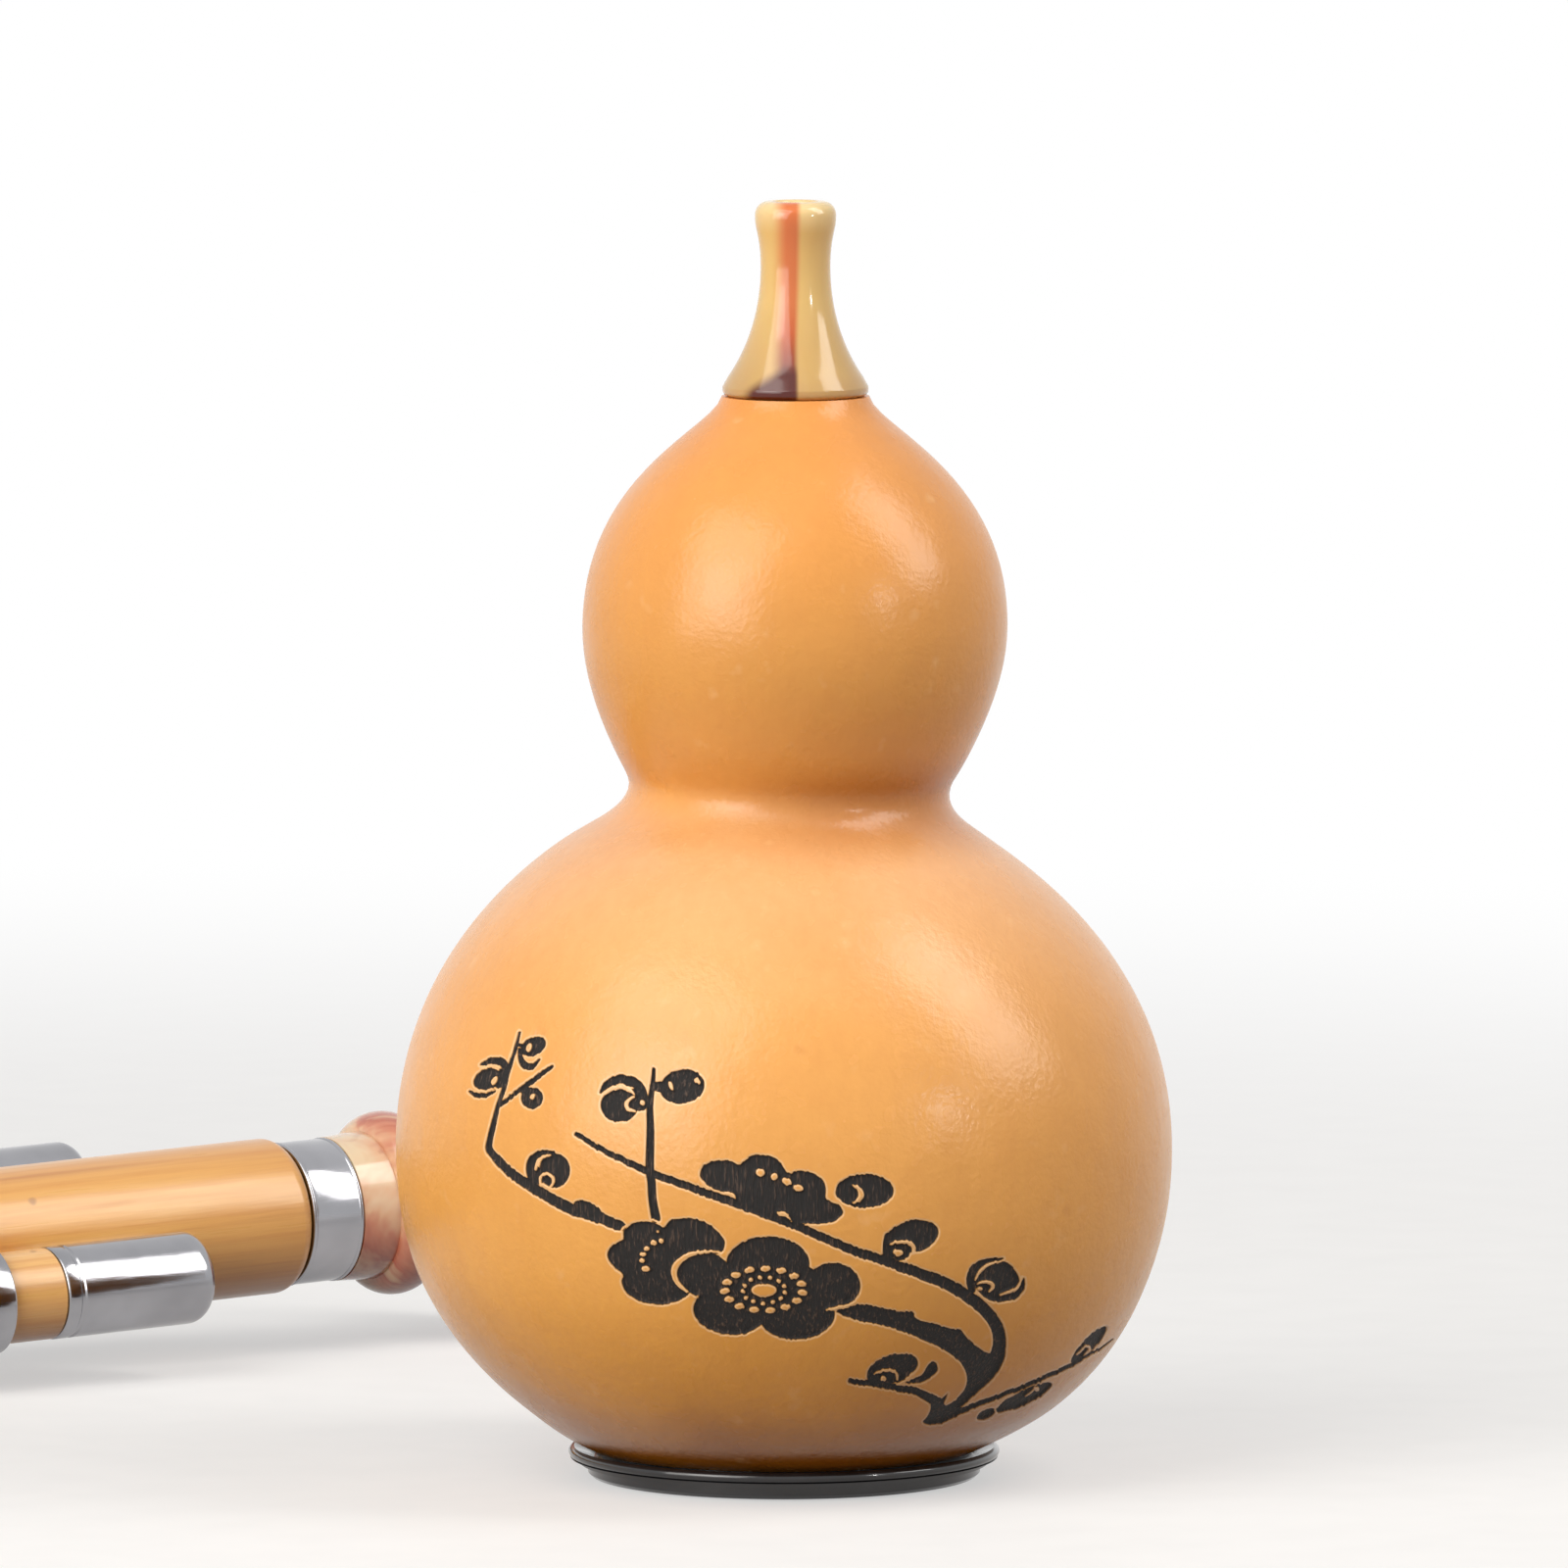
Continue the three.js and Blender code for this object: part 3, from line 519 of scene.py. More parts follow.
# The branch of plum blossom, drawn in the picture's pixels: a stroke has a width at each point,
# an oval is (middle, radii, tilt), dots are (middle, radii of their ring, count, radii of one),
# and what is bare is left uncut in the black
plumBranch = [
    ("stroke", [(530, 1053, 3), (526, 1069, 4), (519, 1091, 4.5), (513.5, 1112, 5), (508, 1127, 5),
        (503, 1148, 6), (499, 1165, 7), (499, 1173, 8), (506, 1182, 9), (521, 1197, 10),
        (537, 1208, 10.5), (553, 1218, 11), (571, 1228, 11.5), (586, 1235, 12), (612, 1243, 12),
        (634, 1252, 10)]),
    ("oval", (599, 1233), (15, 6.5), 22),
    ("stroke", [(510, 1128, 4.5), (528, 1113.5, 5), (546, 1100.5, 6), (563, 1088, 4)]),
    # small buds on the left twig
    ("oval", (543.8, 1067.6), (13.8, 9.4), -26),
    ("stroke", [(527, 1066, 3), (533, 1067, 5)]),
    ("stroke", [(529.6, 1071, 4), (531, 1079.5, 6), (534, 1086, 7.5), (540, 1088.4, 7.5),
        (546, 1085.4, 5), (550.5, 1080.5, 2)]),
    ("bareStroke", [(533.6, 1076.6, 1.6), (538.5, 1080, 2.8), (545, 1080.2, 2.8),
        (550.5, 1077.8, 1.4)]),
    ("bareOval", (539.4, 1068.8), (2.4, 4.6), 20),
    ("oval", (497, 1101), (15, 10.6), -22),
    ("oval", (511, 1100), (7, 11), 20),
    ("stroke", [(490.6, 1086.5, 3), (498, 1083.4, 6.5), (507, 1082, 8), (514, 1086, 9),
        (516, 1093, 8)]),
    ("bareStroke", [(490, 1089.2, 1.8), (499, 1088.4, 2.4), (510.5, 1090, 1.4)]),
    ("stroke", [(479, 1113.6, 3), (486, 1117.4, 5.5), (496, 1117, 6), (504, 1112.5, 4)]),
    ("bareStroke", [(480, 1111.6, 1.4), (488.3, 1114, 2), (498.3, 1113.6, 2), (505.5, 1110.8, 1.2)]),
    ("bareOval", (504, 1102.4), (2.2, 5), 30),
    ("oval", (542.5, 1120.4), (11.4, 11.2), 0),
    ("oval", (535, 1112), (5, 5), 0),
    ("bareOval", (543, 1118.4), (1.9, 3.4), 35),
    ("oval", (565.5, 1194.4), (16, 17.8), 0),
    ("stroke", [(564, 1176.6, 5), (553, 1178, 9), (544.6, 1183.4, 12), (542, 1193, 12),
        (544, 1202, 12)]),
    ("oval", (549, 1200), (9, 9), 0),
    ("bareStroke", [(561, 1178.6, 1.6), (553.4, 1181, 2.8), (548.4, 1186, 3.4), (546, 1193.4, 2)]),
    ("bareStroke", [(551, 1207.4, 2), (551.2, 1201, 2.6), (557.5, 1197.8, 2.8), (563.6, 1201.4, 2.8),
        (564, 1207, 2.4), (560.4, 1211.6, 1.8)]),
    # middle twig with its two buds
    ("stroke", [(667, 1091, 4), (665.8, 1106, 5.4), (663, 1130, 7), (663.5, 1155, 8.4),
        (662.8, 1192, 9), (664.6, 1206, 9), (665.5, 1223, 9), (669, 1243, 10)]),
    ("oval", (631.8, 1128.2), (19.4, 16.8), 0),
    ("stroke", [(612.6, 1115.4, 3), (618, 1107.4, 7), (626, 1102.6, 9.5), (636, 1101.4, 10),
        (646, 1104.8, 12), (652, 1111.4, 13), (655, 1119, 12)]),
    ("oval", (653, 1124.6), (9, 9), 0),
    ("bareStroke", [(612, 1119.6, 1.8), (619, 1113, 2.8), (627, 1109.4, 3.2), (636, 1108.4, 3),
        (645.6, 1110.4, 1.4)]),
    ("bareStroke", [(646.4, 1119.2, 2), (640.8, 1122.2, 3.2), (638.8, 1127, 3.8), (641, 1131.6, 3.4),
        (647.6, 1134, 2)]),
    ("bareOval", (655.2, 1125), (2.4, 2.6), 0),
    ("stroke", [(667, 1108, 9), (677, 1109, 13)]),
    ("oval", (696, 1108.6), (23, 17.6), -10),
    ("bareOval", (684.4, 1108), (1.7, 5), -20),
    ("bareOval", (711.4, 1102.8), (3.4, 2.4), 40),
    # long branch
    ("stroke", [(587.8, 1157, 5), (611.8, 1172, 6), (638.6, 1185, 7), (663.5, 1196.4, 8),
        (692, 1207, 8), (719, 1217, 8.5), (746.7, 1226.5, 9), (776, 1237.4, 9), (811, 1250.6, 9),
        (841, 1263.4, 9), (873, 1277, 9.5), (902, 1286.5, 10), (931.5, 1297, 11), (961, 1308, 12),
        (984, 1320.5, 12.5), (1004.5, 1336.5, 13), (1017.4, 1354, 13), (1020, 1374, 14),
        (1014, 1392, 16)]),
    # blossom seen from the side
    ("shape", [(714, 1197), (717, 1190), (724.5, 1185.6), (736, 1183.8), (746, 1184.8), (755, 1188.6),
        (759.4, 1184), (767, 1179.6), (776.4, 1178.3), (787, 1180), (796, 1185.6), (800.4, 1193),
        (806, 1197.6), (811, 1195.6), (821, 1195), (832, 1198), (840, 1204.6), (843, 1213),
        (842.8, 1222.4), (848, 1226.2), (856, 1229.6), (860.6, 1236.8), (855, 1244.6), (845, 1248.4),
        (830, 1249.2), (819.6, 1249), (812, 1252), (790, 1244), (770, 1236), (753, 1227), (749, 1218.4),
        (739, 1216.4), (729, 1214), (720.6, 1208.4), (715, 1202)]),
    ("bareOval", (798.8, 1239.2), (6, 2.3), 12),
    ("bareStroke", [(803, 1241, 1.6), (807.6, 1246.4, 1)]),
    ("bareOval", (775.8, 1196.7), (4.4, 3.9), 0),
    ("bareOval", (790.1, 1201.1), (3.3, 3.5), 0),
    ("bareOval", (802.9, 1206), (5, 3.3), 25),
    ("bareOval", (814.6, 1212.8), (5, 3.2), 10),
    # buds on the long branch
    ("oval", (882.6, 1215.4), (29.6, 17.4), 0),
    ("oval", (862, 1217), (9.4, 8.6), 0),
    ("bareStroke", [(870.4, 1209.4, 1.4), (875.6, 1212, 3.6), (879, 1218.6, 5.6), (876.4, 1224.4, 4),
        (870.4, 1227.4, 1.4)]),
    ("oval", (931, 1262), (27.4, 16.6), -14),
    ("stroke", [(907, 1262, 9), (905.4, 1272, 9), (906, 1284, 10)]),
    ("oval", (917, 1277), (12, 9), 10),
    ("bareStroke", [(908.8, 1270.6, 1.6), (914, 1267.8, 2.8), (921, 1267, 3.2), (928.6, 1268.8, 3.8),
        (932.8, 1274.6, 4), (930.6, 1282.6, 2)]),
    ("bareOval", (916.6, 1278.2), (5, 3.3), 0),
    ("oval", (1017.6, 1307.4), (23.6, 21), 20),
    ("stroke", [(1023.6, 1284.4, 2), (1010, 1287.4, 7), (997, 1295, 12), (991.6, 1305, 11),
        (992, 1316, 8)]),
    ("stroke", [(1044.4, 1304.6, 3), (1042.4, 1314, 7), (1034, 1322.6, 8), (1021, 1325.4, 7),
        (1008, 1322, 6)]),
    ("bareStroke", [(1023.6, 1286.6, 1.6), (1009, 1290.4, 2.8), (1000, 1298.4, 2.8),
        (995.6, 1306, 1.8)]),
    ("bareStroke", [(1043.6, 1303.4, 1.6), (1038.4, 1313.6, 2.8), (1030, 1319.2, 2.8),
        (1021, 1321.4, 1.8)]),
    ("bareStroke", [(998, 1310.6, 1.6), (1004.8, 1308.4, 2.8), (1011.6, 1309.4, 3.6),
        (1013.4, 1313.6, 3.4), (1009.6, 1318, 1.8)]),
    ("bareOval", (1000.2, 1315.8), (2.6, 1.8), 0),
    # left blossom, parted from the twigs by a thin bare line
    ("bareStroke", [(632, 1260.4, 1.4), (635.4, 1253.8, 1.8), (641.4, 1248.4, 1.4)]),
    ("bareStroke", [(662, 1244.4, 1.4), (670, 1246.2, 1.8), (677.4, 1250.4, 1.6)]),
    ("shape", [(635.8, 1257.4), (641.4, 1250.8), (650, 1246.8), (661, 1246.4), (670.6, 1248.8),
        (677.5, 1252), (683, 1245.4), (694.4, 1243.2), (708.9, 1243.8), (721, 1247.7), (730.4, 1255),
        (738.4, 1263.8), (739.6, 1270.6), (736, 1278), (722, 1284), (702, 1300), (704, 1319),
        (694.4, 1326.6), (682.2, 1330.8), (668.9, 1331.4), (655.6, 1329.2), (644.4, 1323.8),
        (636.6, 1316), (633.8, 1308), (635.4, 1302), (629.6, 1296), (623, 1289.3), (619.4, 1281.6),
        (620.8, 1274.8), (627, 1269), (635.4, 1265.4)]),
    ("bareOval", (671, 1256.6), (1.3, 1.2), 0),
    ("bareOval", (674.4, 1266), (2.3, 2.5), 0),
    ("bareOval", (666.7, 1268.4), (3.1, 2.6), 0),
    ("bareOval", (659.6, 1274.2), (2.8, 2.2), 0),
    ("bareOval", (655.8, 1280), (3.3, 1.9), 0),
    ("bareOval", (654.9, 1286.3), (2.6, 2.2), 0),
    ("bareOval", (658.6, 1294.8), (4.1, 2.8), 8),
    # large blossom, and the bare line between the two
    ("oval", (719, 1301), (26.6, 23), 0),
    ("oval", (783.6, 1290), (42.6, 28), 0),
    ("oval", (850.2, 1312), (28, 23.2), 0),
    ("oval", (743.8, 1339), (36.8, 23.4), 8),
    ("oval", (813.6, 1342.4), (38.6, 25.2), -4),
    ("oval", (782, 1316), (60, 34), 0),
    ("bareStroke", [(741, 1279.4, 2.2), (731, 1277.6, 1.8), (720, 1277.4, 3), (708.9, 1279, 3.8),
        (698, 1283.6, 5.2), (690.4, 1290, 6), (687.6, 1298, 5.8), (689.4, 1306, 4.8),
        (694.4, 1312.6, 3.4), (701, 1318.6, 2.2)]),
    ("bareOval", (779.6, 1317.2), (12.8, 6.6), 0),
    ("bareDots", (779.6, 1317.2), (21.6, 13.4), 13, (2.2, 2)),
    ("bareDots", (779.4, 1316.4), (40, 21.6), 15, (5, 3)),
    # trunk, with the bare line that parts it from the blossom
    ("bareStroke", [(843.6, 1337, 1.6), (852, 1335.4, 3.2), (868, 1331.6, 2.8), (878, 1328.2, 1.4)]),
    ("shape", [(853, 1339), (866, 1334.4), (877.5, 1330.8), (896, 1334), (915.4, 1337.8), (932, 1339.2),
        (934.6, 1345.6), (952, 1350.4), (969, 1355.6), (980, 1357.2), (987, 1365), (995, 1372.6),
        (1003, 1378.6), (1011.4, 1380.6), (1024, 1372), (1026, 1385), (1017.5, 1401.6), (1007, 1413.3),
        (994, 1425), (981, 1436.5), (975, 1444), (966, 1451), (955, 1454), (946, 1453.6),
        (941.6, 1450.6), (946, 1445.6), (949.8, 1436.8), (949, 1427), (957, 1426.6), (963, 1426),
        (967.4, 1421.4), (965.4, 1428), (963.6, 1432.4), (966.2, 1434.4), (975.8, 1428), (983.6, 1419),
        (986.8, 1409), (984.8, 1398), (977, 1387.6), (965, 1379), (948, 1370), (932, 1363.6),
        (919.6, 1358.4), (899, 1352.6), (876, 1348)]),
    # lower left twig with its bud and leaf
    ("stroke", [(868, 1409.6, 5.6), (893, 1413, 6.4), (917, 1416.8, 7), (937, 1421, 8.4),
        (953, 1429, 10)]),
    ("oval", (911, 1397.4), (27, 14.4), -18),
    ("oval", (894, 1405), (9.4, 9), 0),
    ("bareStroke", [(892.6, 1402.4, 1.6), (900.6, 1399.2, 2.6), (908.4, 1398.8, 3), (914.8, 1401.6, 3),
        (915.8, 1407.4, 1.8)]),
    ("bareOval", (901.6, 1407.4), (2.8, 2.5), 0),
    ("bareStroke", [(937, 1397.6, 1.6), (931, 1403.4, 3.2), (922, 1410, 1.6)]),
    ("shape", [(923, 1411.6), (932.6, 1407.4), (941, 1402.4), (945.6, 1395), (949.4, 1390.4),
        (954, 1390), (956.6, 1394), (957, 1399.6), (951, 1405), (943, 1409.6), (934, 1412.4)]),
    # lower right twig with its buds
    ("stroke", [(958, 1450, 8), (972, 1444, 7), (986, 1438, 6), (1006, 1430.2, 5.4), (1026, 1422.6, 5),
        (1046, 1414.6, 5), (1066, 1406, 4.8), (1086, 1396.8, 4.6), (1094, 1393, 4.4),
        (1106, 1385.8, 3.6), (1123.6, 1376, 2.6), (1136, 1367, 1.8)]),
    ("oval", (1111.4, 1372.6), (25.6, 6.6), -46),
    ("bareStroke", [(1099, 1382.6, 1.2), (1106, 1375.8, 2), (1110.6, 1374.2, 2.4), (1112.4, 1377.4, 2),
        (1106.6, 1384, 1.2)]),
    ("oval", (1045.2, 1426.4), (31.6, 7.4), -25.5),
    ("oval", (1006.4, 1443.4), (10.6, 4.6), -28),
    ("bareStroke", [(988, 1443.4, 1), (1004, 1437, 1.6), (1020, 1430.4, 1.6), (1034, 1424.6, 1.2)]),
    ("bareStroke", [(1017, 1442.4, 1.2), (1015.6, 1437.6, 1.6), (1020, 1432.4, 1.2)]),
    ("bareOval", (1058, 1417.6), (3.2, 2), 40),
    ("bareStroke", [(1047, 1425, 1), (1053, 1421, 1.4), (1056, 1417, 1)]),
]


def smoothPath(points, closed, cuts=3):
    # points of a smooth line through the given ones, all their numbers blended alike
    places = np.array(points, float)
    count = len(places)
    made = []
    for i in range(count if closed else count - 1):
        if closed:
            four = [places[(i + k) % count] for k in (-1, 0, 1, 2)]
        else:
            four = [places[min(max(i + k, 0), count - 1)] for k in (-1, 0, 1, 2)]
        for t in (j / cuts for j in range(cuts)):
            a, b, c, d = four
            made.append(0.5 * (2 * b + (c - a) * t + (2 * a - 5 * b + 4 * c - d) * t * t
                               + (3 * b - a - 3 * c + d) * t ** 3))
    if not closed:
        made.append(places[-1])
    return np.array(made)


def ovalDistance(u, v, middle, radii, tilt):
    c, s = math.cos(math.radians(tilt)), math.sin(math.radians(tilt))
    a, b = u - middle[0], v - middle[1]
    p, q = (a * c + b * s) / radii[0], (b * c - a * s) / radii[1]
    reach = np.hypot(p, q)
    slope = np.hypot(p / radii[0], q / radii[1])
    outer = reach * (reach - 1) / np.maximum(slope, 1e-9)
    return np.where(reach < 0.6, (reach - 1) * min(radii), outer)


def legDistance(u, v, ax, ay, bx, by):
    # how far each point is from a straight leg, and how far along the leg
    dx, dy = bx - ax, by - ay
    t = np.clip(((u - ax) * dx + (v - ay) * dy) / max(dx * dx + dy * dy, 1e-9), 0, 1)
    return np.hypot(u - ax - dx * t, v - ay - dy * t), t


def strokeDistance(u, v, path):
    nearest = np.full(len(u), 1e3)
    for (ax, ay, aw), (bx, by, bw) in zip(path, path[1:]):
        gap, t = legDistance(u, v, ax, ay, bx, by)
        nearest = np.minimum(nearest, gap - (aw + (bw - aw) * t) / 2)
    return nearest


def shapeDistance(u, v, path):
    nearest, inside = np.full(len(u), 1e3), np.zeros(len(u), bool)
    for (ax, ay), (bx, by) in zip(path, np.roll(path, -1, axis=0)):
        nearest = np.minimum(nearest, legDistance(u, v, ax, ay, bx, by)[0])
        drop = by - ay if abs(by - ay) > 1e-9 else 1e-9
        inside ^= ((ay > v) != (by > v)) & (u < (bx - ax) * (v - ay) / drop + ax)
    return np.where(inside, -nearest, nearest)


def branchShapes():
    # each as (bare or not, form, its numbers), with dots told apart and lines made smooth
    made = []
    for kind, *what in plumBranch:
        bare = kind.startswith("bare")
        form = kind[4:].lower() if bare else kind
        if form == "dots":
            middle, radii, count, dot = what
            for i in range(count):
                turn = math.tau * (i + 0.35) / count
                spot = (middle[0] + radii[0] * math.cos(turn), middle[1] + radii[1] * math.sin(turn))
                made.append((bare, "oval", (spot, dot, 0)))
        elif form == "oval":
            made.append((bare, form, tuple(what)))
        else:
            made.append((bare, form, smoothPath(what[0], closed=form == "shape")))
    return made


def branchDistance(u, v):
    # below zero where the black is cut; the cutter ran up and down, so level edges are ragged
    c = carvingSet
    shuffled = np.sin(np.floor(u / c["toothWide"]) * 12.9898) * 43758.5453
    v = v + ((shuffled - np.floor(shuffled)) - 0.5) * c["toothHigh"]
    nearest = np.full(len(u), c["farAway"])
    for bare, form, what in branchShapes():
        if form == "oval":
            middle, radii, tilt = what
            reach = max(radii) + c["ovalReach"]
            near = (abs(u - middle[0]) < reach) & (abs(v - middle[1]) < reach)
        else:
            low, high = what[:, :2].min(0) - c["lineReach"], what[:, :2].max(0) + c["lineReach"]
            near = (u > low[0]) & (u < high[0]) & (v > low[1]) & (v < high[1])
        if not near.any():
            continue
        if form == "oval":
            here = ovalDistance(u[near], v[near], middle, radii, tilt)
        elif form == "stroke":
            here = strokeDistance(u[near], v[near], what)
        else:
            here = shapeDistance(u[near], v[near], what)
        nearest[near] = np.maximum(nearest[near], -here) if bare else np.minimum(nearest[near], here)
    return nearest


# depth and innerEdge in mm, all else in pixels of the picture
carvingSet = dict(depth=0.34, innerEdge=23.4, wallFrom=-1.7, wallTo=0.3, keep=10.0, farAway=30.0,
                  window=(470, 1045, 1148, 1462), coarseBand=4.6, fineBand=2.3,
                  toothWide=2.4, toothHigh=1.5, ovalReach=12, lineReach=20)


def carvedDistance(places):
    c = carvingSet
    u, v = pictureSpots(places)
    left, top, right, bottom = c["window"]
    radius = np.hypot(places[:, 0] - gourdAxis.x, places[:, 1] - gourdAxis.y)
    front = ((places[:, 1] < gourdAxis.y) & (radius > c["innerEdge"] * mm)
             & (u > left) & (u < right) & (v > top) & (v < bottom))
    found = np.full(len(places), c["farAway"])
    found[front] = branchDistance(u[front], v[front])
    return found


def facesAway(places, outwards):
    # true on the skin, false in the hollow
    return ((places - np.array(gourdAxis))[:, :2] * outwards[:, :2]).sum(1) > 0


def refineCarving(piece, band):
    # cut the outer faces near the branch's edge into four
    pick(piece)
    bpy.ops.object.mode_set(mode="EDIT")
    bpy.ops.mesh.select_mode(type="FACE")
    bpy.ops.mesh.select_all(action="DESELECT")
    shape = bmesh.from_edit_mesh(piece.data)
    middles = np.array([face.calc_center_median() for face in shape.faces])
    outwards = np.array([face.normal for face in shape.faces])
    near = facesAway(middles, outwards) & (np.abs(carvedDistance(middles)) < band)
    for face, wanted in zip(shape.faces, near):
        if wanted:
            face.select_set(True)
    bmesh.update_edit_mesh(piece.data)
    bpy.ops.mesh.subdivide(number_cuts=1)
    bpy.ops.mesh.select_mode(type="VERT")
    bpy.ops.object.mode_set(mode="OBJECT")


def makeGourd():
    g, c = gourdSet, carvingSet
    outline = gourdSkinOutline()
    chamber = chamberRows(outline)
    rows = evenRows(outline)
    stemRadius, stemTop = g["stem"]
    rows += [(stemRadius - g["stemEdge"], stemTop), (g["stemBore"], stemTop),
             (g["stemBore"], g["chamberTop"])]
    rows += chamber[::-1] + [(g["footBore"], chamber[0][1])]
    start = math.radians(g["frontEnd"])
    piece = drawEdge("gourdSkin", [(r * math.cos(start), r * math.sin(start), z) for r, z in rows],
                     closed=True)
    front = math.radians(g["frontEnd"] - g["frontStart"])
    # a spin turns clockwise: first across the carved front, then round the back
    bpy.ops.mesh.spin(steps=g["frontSteps"], angle=front, center=(0, 0, 0), axis=(0, 0, 1))
    bpy.ops.mesh.spin(steps=g["backSteps"], angle=math.tau - front, center=(0, 0, 0), axis=(0, 0, 1))
    closeShape(piece, g["smooth"])
    places = readVertices(piece)
    leanGourd(places)
    piece.data.vertices.foreach_set("co", places.ravel())
    piece.location = gourdAxis
    applyPlace(piece)
    refineCarving(piece, c["coarseBand"])
    refineCarving(piece, c["fineBand"])

    # sink the branch into the skin, and keep its distance for the material
    places, outwards = readVertices(piece), readVertices(piece, "normal")
    distance = carvedDistance(places)
    distance[~facesAway(places, outwards)] = c["farAway"]
    sunk = ease(distance, c["wallTo"], c["wallFrom"]) * c["depth"] * mm
    places -= outwards * sunk[:, None]
    piece.data.vertices.foreach_set("co", places.ravel())
    carved = piece.data.attributes.new("carving", "FLOAT", "POINT")
    carved.data.foreach_set("value", np.clip(-distance / c["keep"], -1, 1).astype(np.float32))
    piece.data.update()
    return shadeSmooth(piece, g["smooth"])


# the skin's colour by height in metres: browner under each bulb, paler at the crease; the dark lowest
# stops are painted shade on the underside, partly the gourd's own darker base
skinTonesAndShade = [
    (0.0, (120, 66, 4)), (0.006, (196, 124, 22)), (0.013, (240, 170, 62)), (0.030, (246, 179, 88)),
    (0.060, (246, 178, 100)), (0.077, (247, 187, 128)), (0.086, (234, 166, 84)),
    (0.100, (234, 167, 84)), (0.116, (241, 167, 86)), (0.134, (240, 160, 80)),
]
# painted shade in the crease, in metres: its height, how far it reaches, and from where to where it
# grows
creasePaintedShade = dict(height=0.0832, reach=(0.0015, 0.0075), across=(-0.014, 0.010), tint=(222, 208, 196))


def gourdMaterial():
    material, tree, shader = newMaterial("gourdLacquer")
    axis = tuple(gourdAxis)
    place = objectPlace(tree, centre=axis)
    sides = add(tree, "ShaderNodeSeparateXYZ", {0: place}).outputs
    clouds = noise(tree, place, 34.0, 4.0, 0.55, 0.4)
    wander = reckon(tree, "ADD", sides["Z"], spread(tree, clouds, 0.2, 0.8, -0.003, 0.003))
    # skin colour by height, with painted shade in its lowest stops
    top = skinTonesAndShade[-1][0]
    tones = [(z / top, tone(*colour)) for z, colour in skinTonesAndShade]
    skin = ramp(tree, spread(tree, wander, 0.0, top), tones)
    patches = ramp(tree, clouds, [(0.28, (0.89, 0.86, 0.80, 1)), (0.5, (0.96, 0.95, 0.94, 1)),
                                  (0.72, (1, 1, 1, 1))])
    skin = mixColour(tree, 1.0, skin, patches, "MULTIPLY")
    # fine upright fibres under the lacquer, pale flecks and dark ones
    fibres = noise(tree, objectPlace(tree, centre=axis, scale=(1, 1, 0.3)), 640.0, 3.0, 0.6)
    skin = mixColour(tree, spread(tree, fibres, 0.3, 0.75, 0.0, 0.16), skin, tone(214, 136, 70))
    flecks = noise(tree, place, 310.0, 2.0, 0.5)
    skin = mixColour(tree, spread(tree, flecks, 0.66, 0.8, 0.0, 0.28), skin, tone(255, 205, 145))
    dark = noise(tree, place, 190.0, 1.0, 0.4)
    skin = mixColour(tree, spread(tree, dark, 0.76, 0.84, 0.0, 0.35), skin, tone(186, 104, 48))

    # painted shade: the crease is darkened on its right
    off = reckon(tree, "SUBTRACT", sides["Z"], creasePaintedShade["height"])
    off = reckon(tree, "ABSOLUTE", off, 0.0)
    crease = spread(tree, off, *creasePaintedShade["reach"], 1.0, 0.0, smooth=True)
    rightward = spread(tree, sides["X"], *creasePaintedShade["across"], smooth=True)
    skin = mixColour(tree, reckon(tree, "MULTIPLY", crease, rightward), skin,
                     tone(*creasePaintedShade["tint"]), "MULTIPLY")

    # burnt, cut branch with its upright streaks and pale lip
    carving = add(tree, "ShaderNodeAttribute", attribute_name="carving").outputs["Fac"]
    black = spread(tree, carving, -0.03, 0.06, smooth=True)
    lip = reckon(tree, "MULTIPLY", spread(tree, carving, -0.26, -0.08, smooth=True),
                 spread(tree, carving, -0.06, 0.02, 1.0, 0.0, smooth=True))
    streaks = noise(tree, objectPlace(tree, centre=axis, scale=(1, 1, 0.14)), 3200.0, 2.0, 0.6)
    soot = ramp(tree, streaks, [(0.40, tone(8, 4, 2)), (0.56, tone(18, 11, 8)),
                                (0.72, tone(88, 72, 62))])
    skin = mixColour(tree, reckon(tree, "MULTIPLY", lip, 0.55), skin, tone(255, 222, 176))
    link(tree, mixColour(tree, black, skin, soot), shader, "Base Color")

    pebbles = noise(tree, place, 1500.0, 2.0, 0.5)
    waves = noise(tree, place, 260.0, 2.0, 0.5)
    gloss = spread(tree, waves, 0.3, 0.7, 0.23, 0.29)
    gloss = add(tree, "ShaderNodeMix", {0: black, 2: gloss, 3: 0.75}, data_type="FLOAT").outputs[0]
    link(tree, gloss, shader, "Roughness")
    relief = bump(tree, waves, 0.16, 0.0006)
    relief = bump(tree, pebbles, 0.30, 0.00018, under=relief)
    relief = bump(tree, reckon(tree, "MULTIPLY", streaks, black), 0.5, 0.0006, under=relief)
    link(tree, relief, shader, "Normal")
    setSockets(shader, {"Specular IOR Level": 0.40, "Coat Weight": 0.0})
    return material


gourd = makeGourd()
dress(gourd, gourdMaterial(), "gourd", "gourd_shell")
print("gourd shaped and carved:", len(gourd.data.polygons), "faces")


collarSet = dict(
    insert=23.0, insertTop=10.0, insertEdge=0.8, foot=24.0, footTop=1.5, footEdge=0.4,
    step=25.0, stepTop=2.2, lip=26.35, lipTop=3.5, lipEdge=0.65, grooveTop=2.72, grooveFoot=2.66,
    mainSocket=7.0, droneSocket=5.4, droneAside=16.1, socketFlare=0.5, sides=144,
)


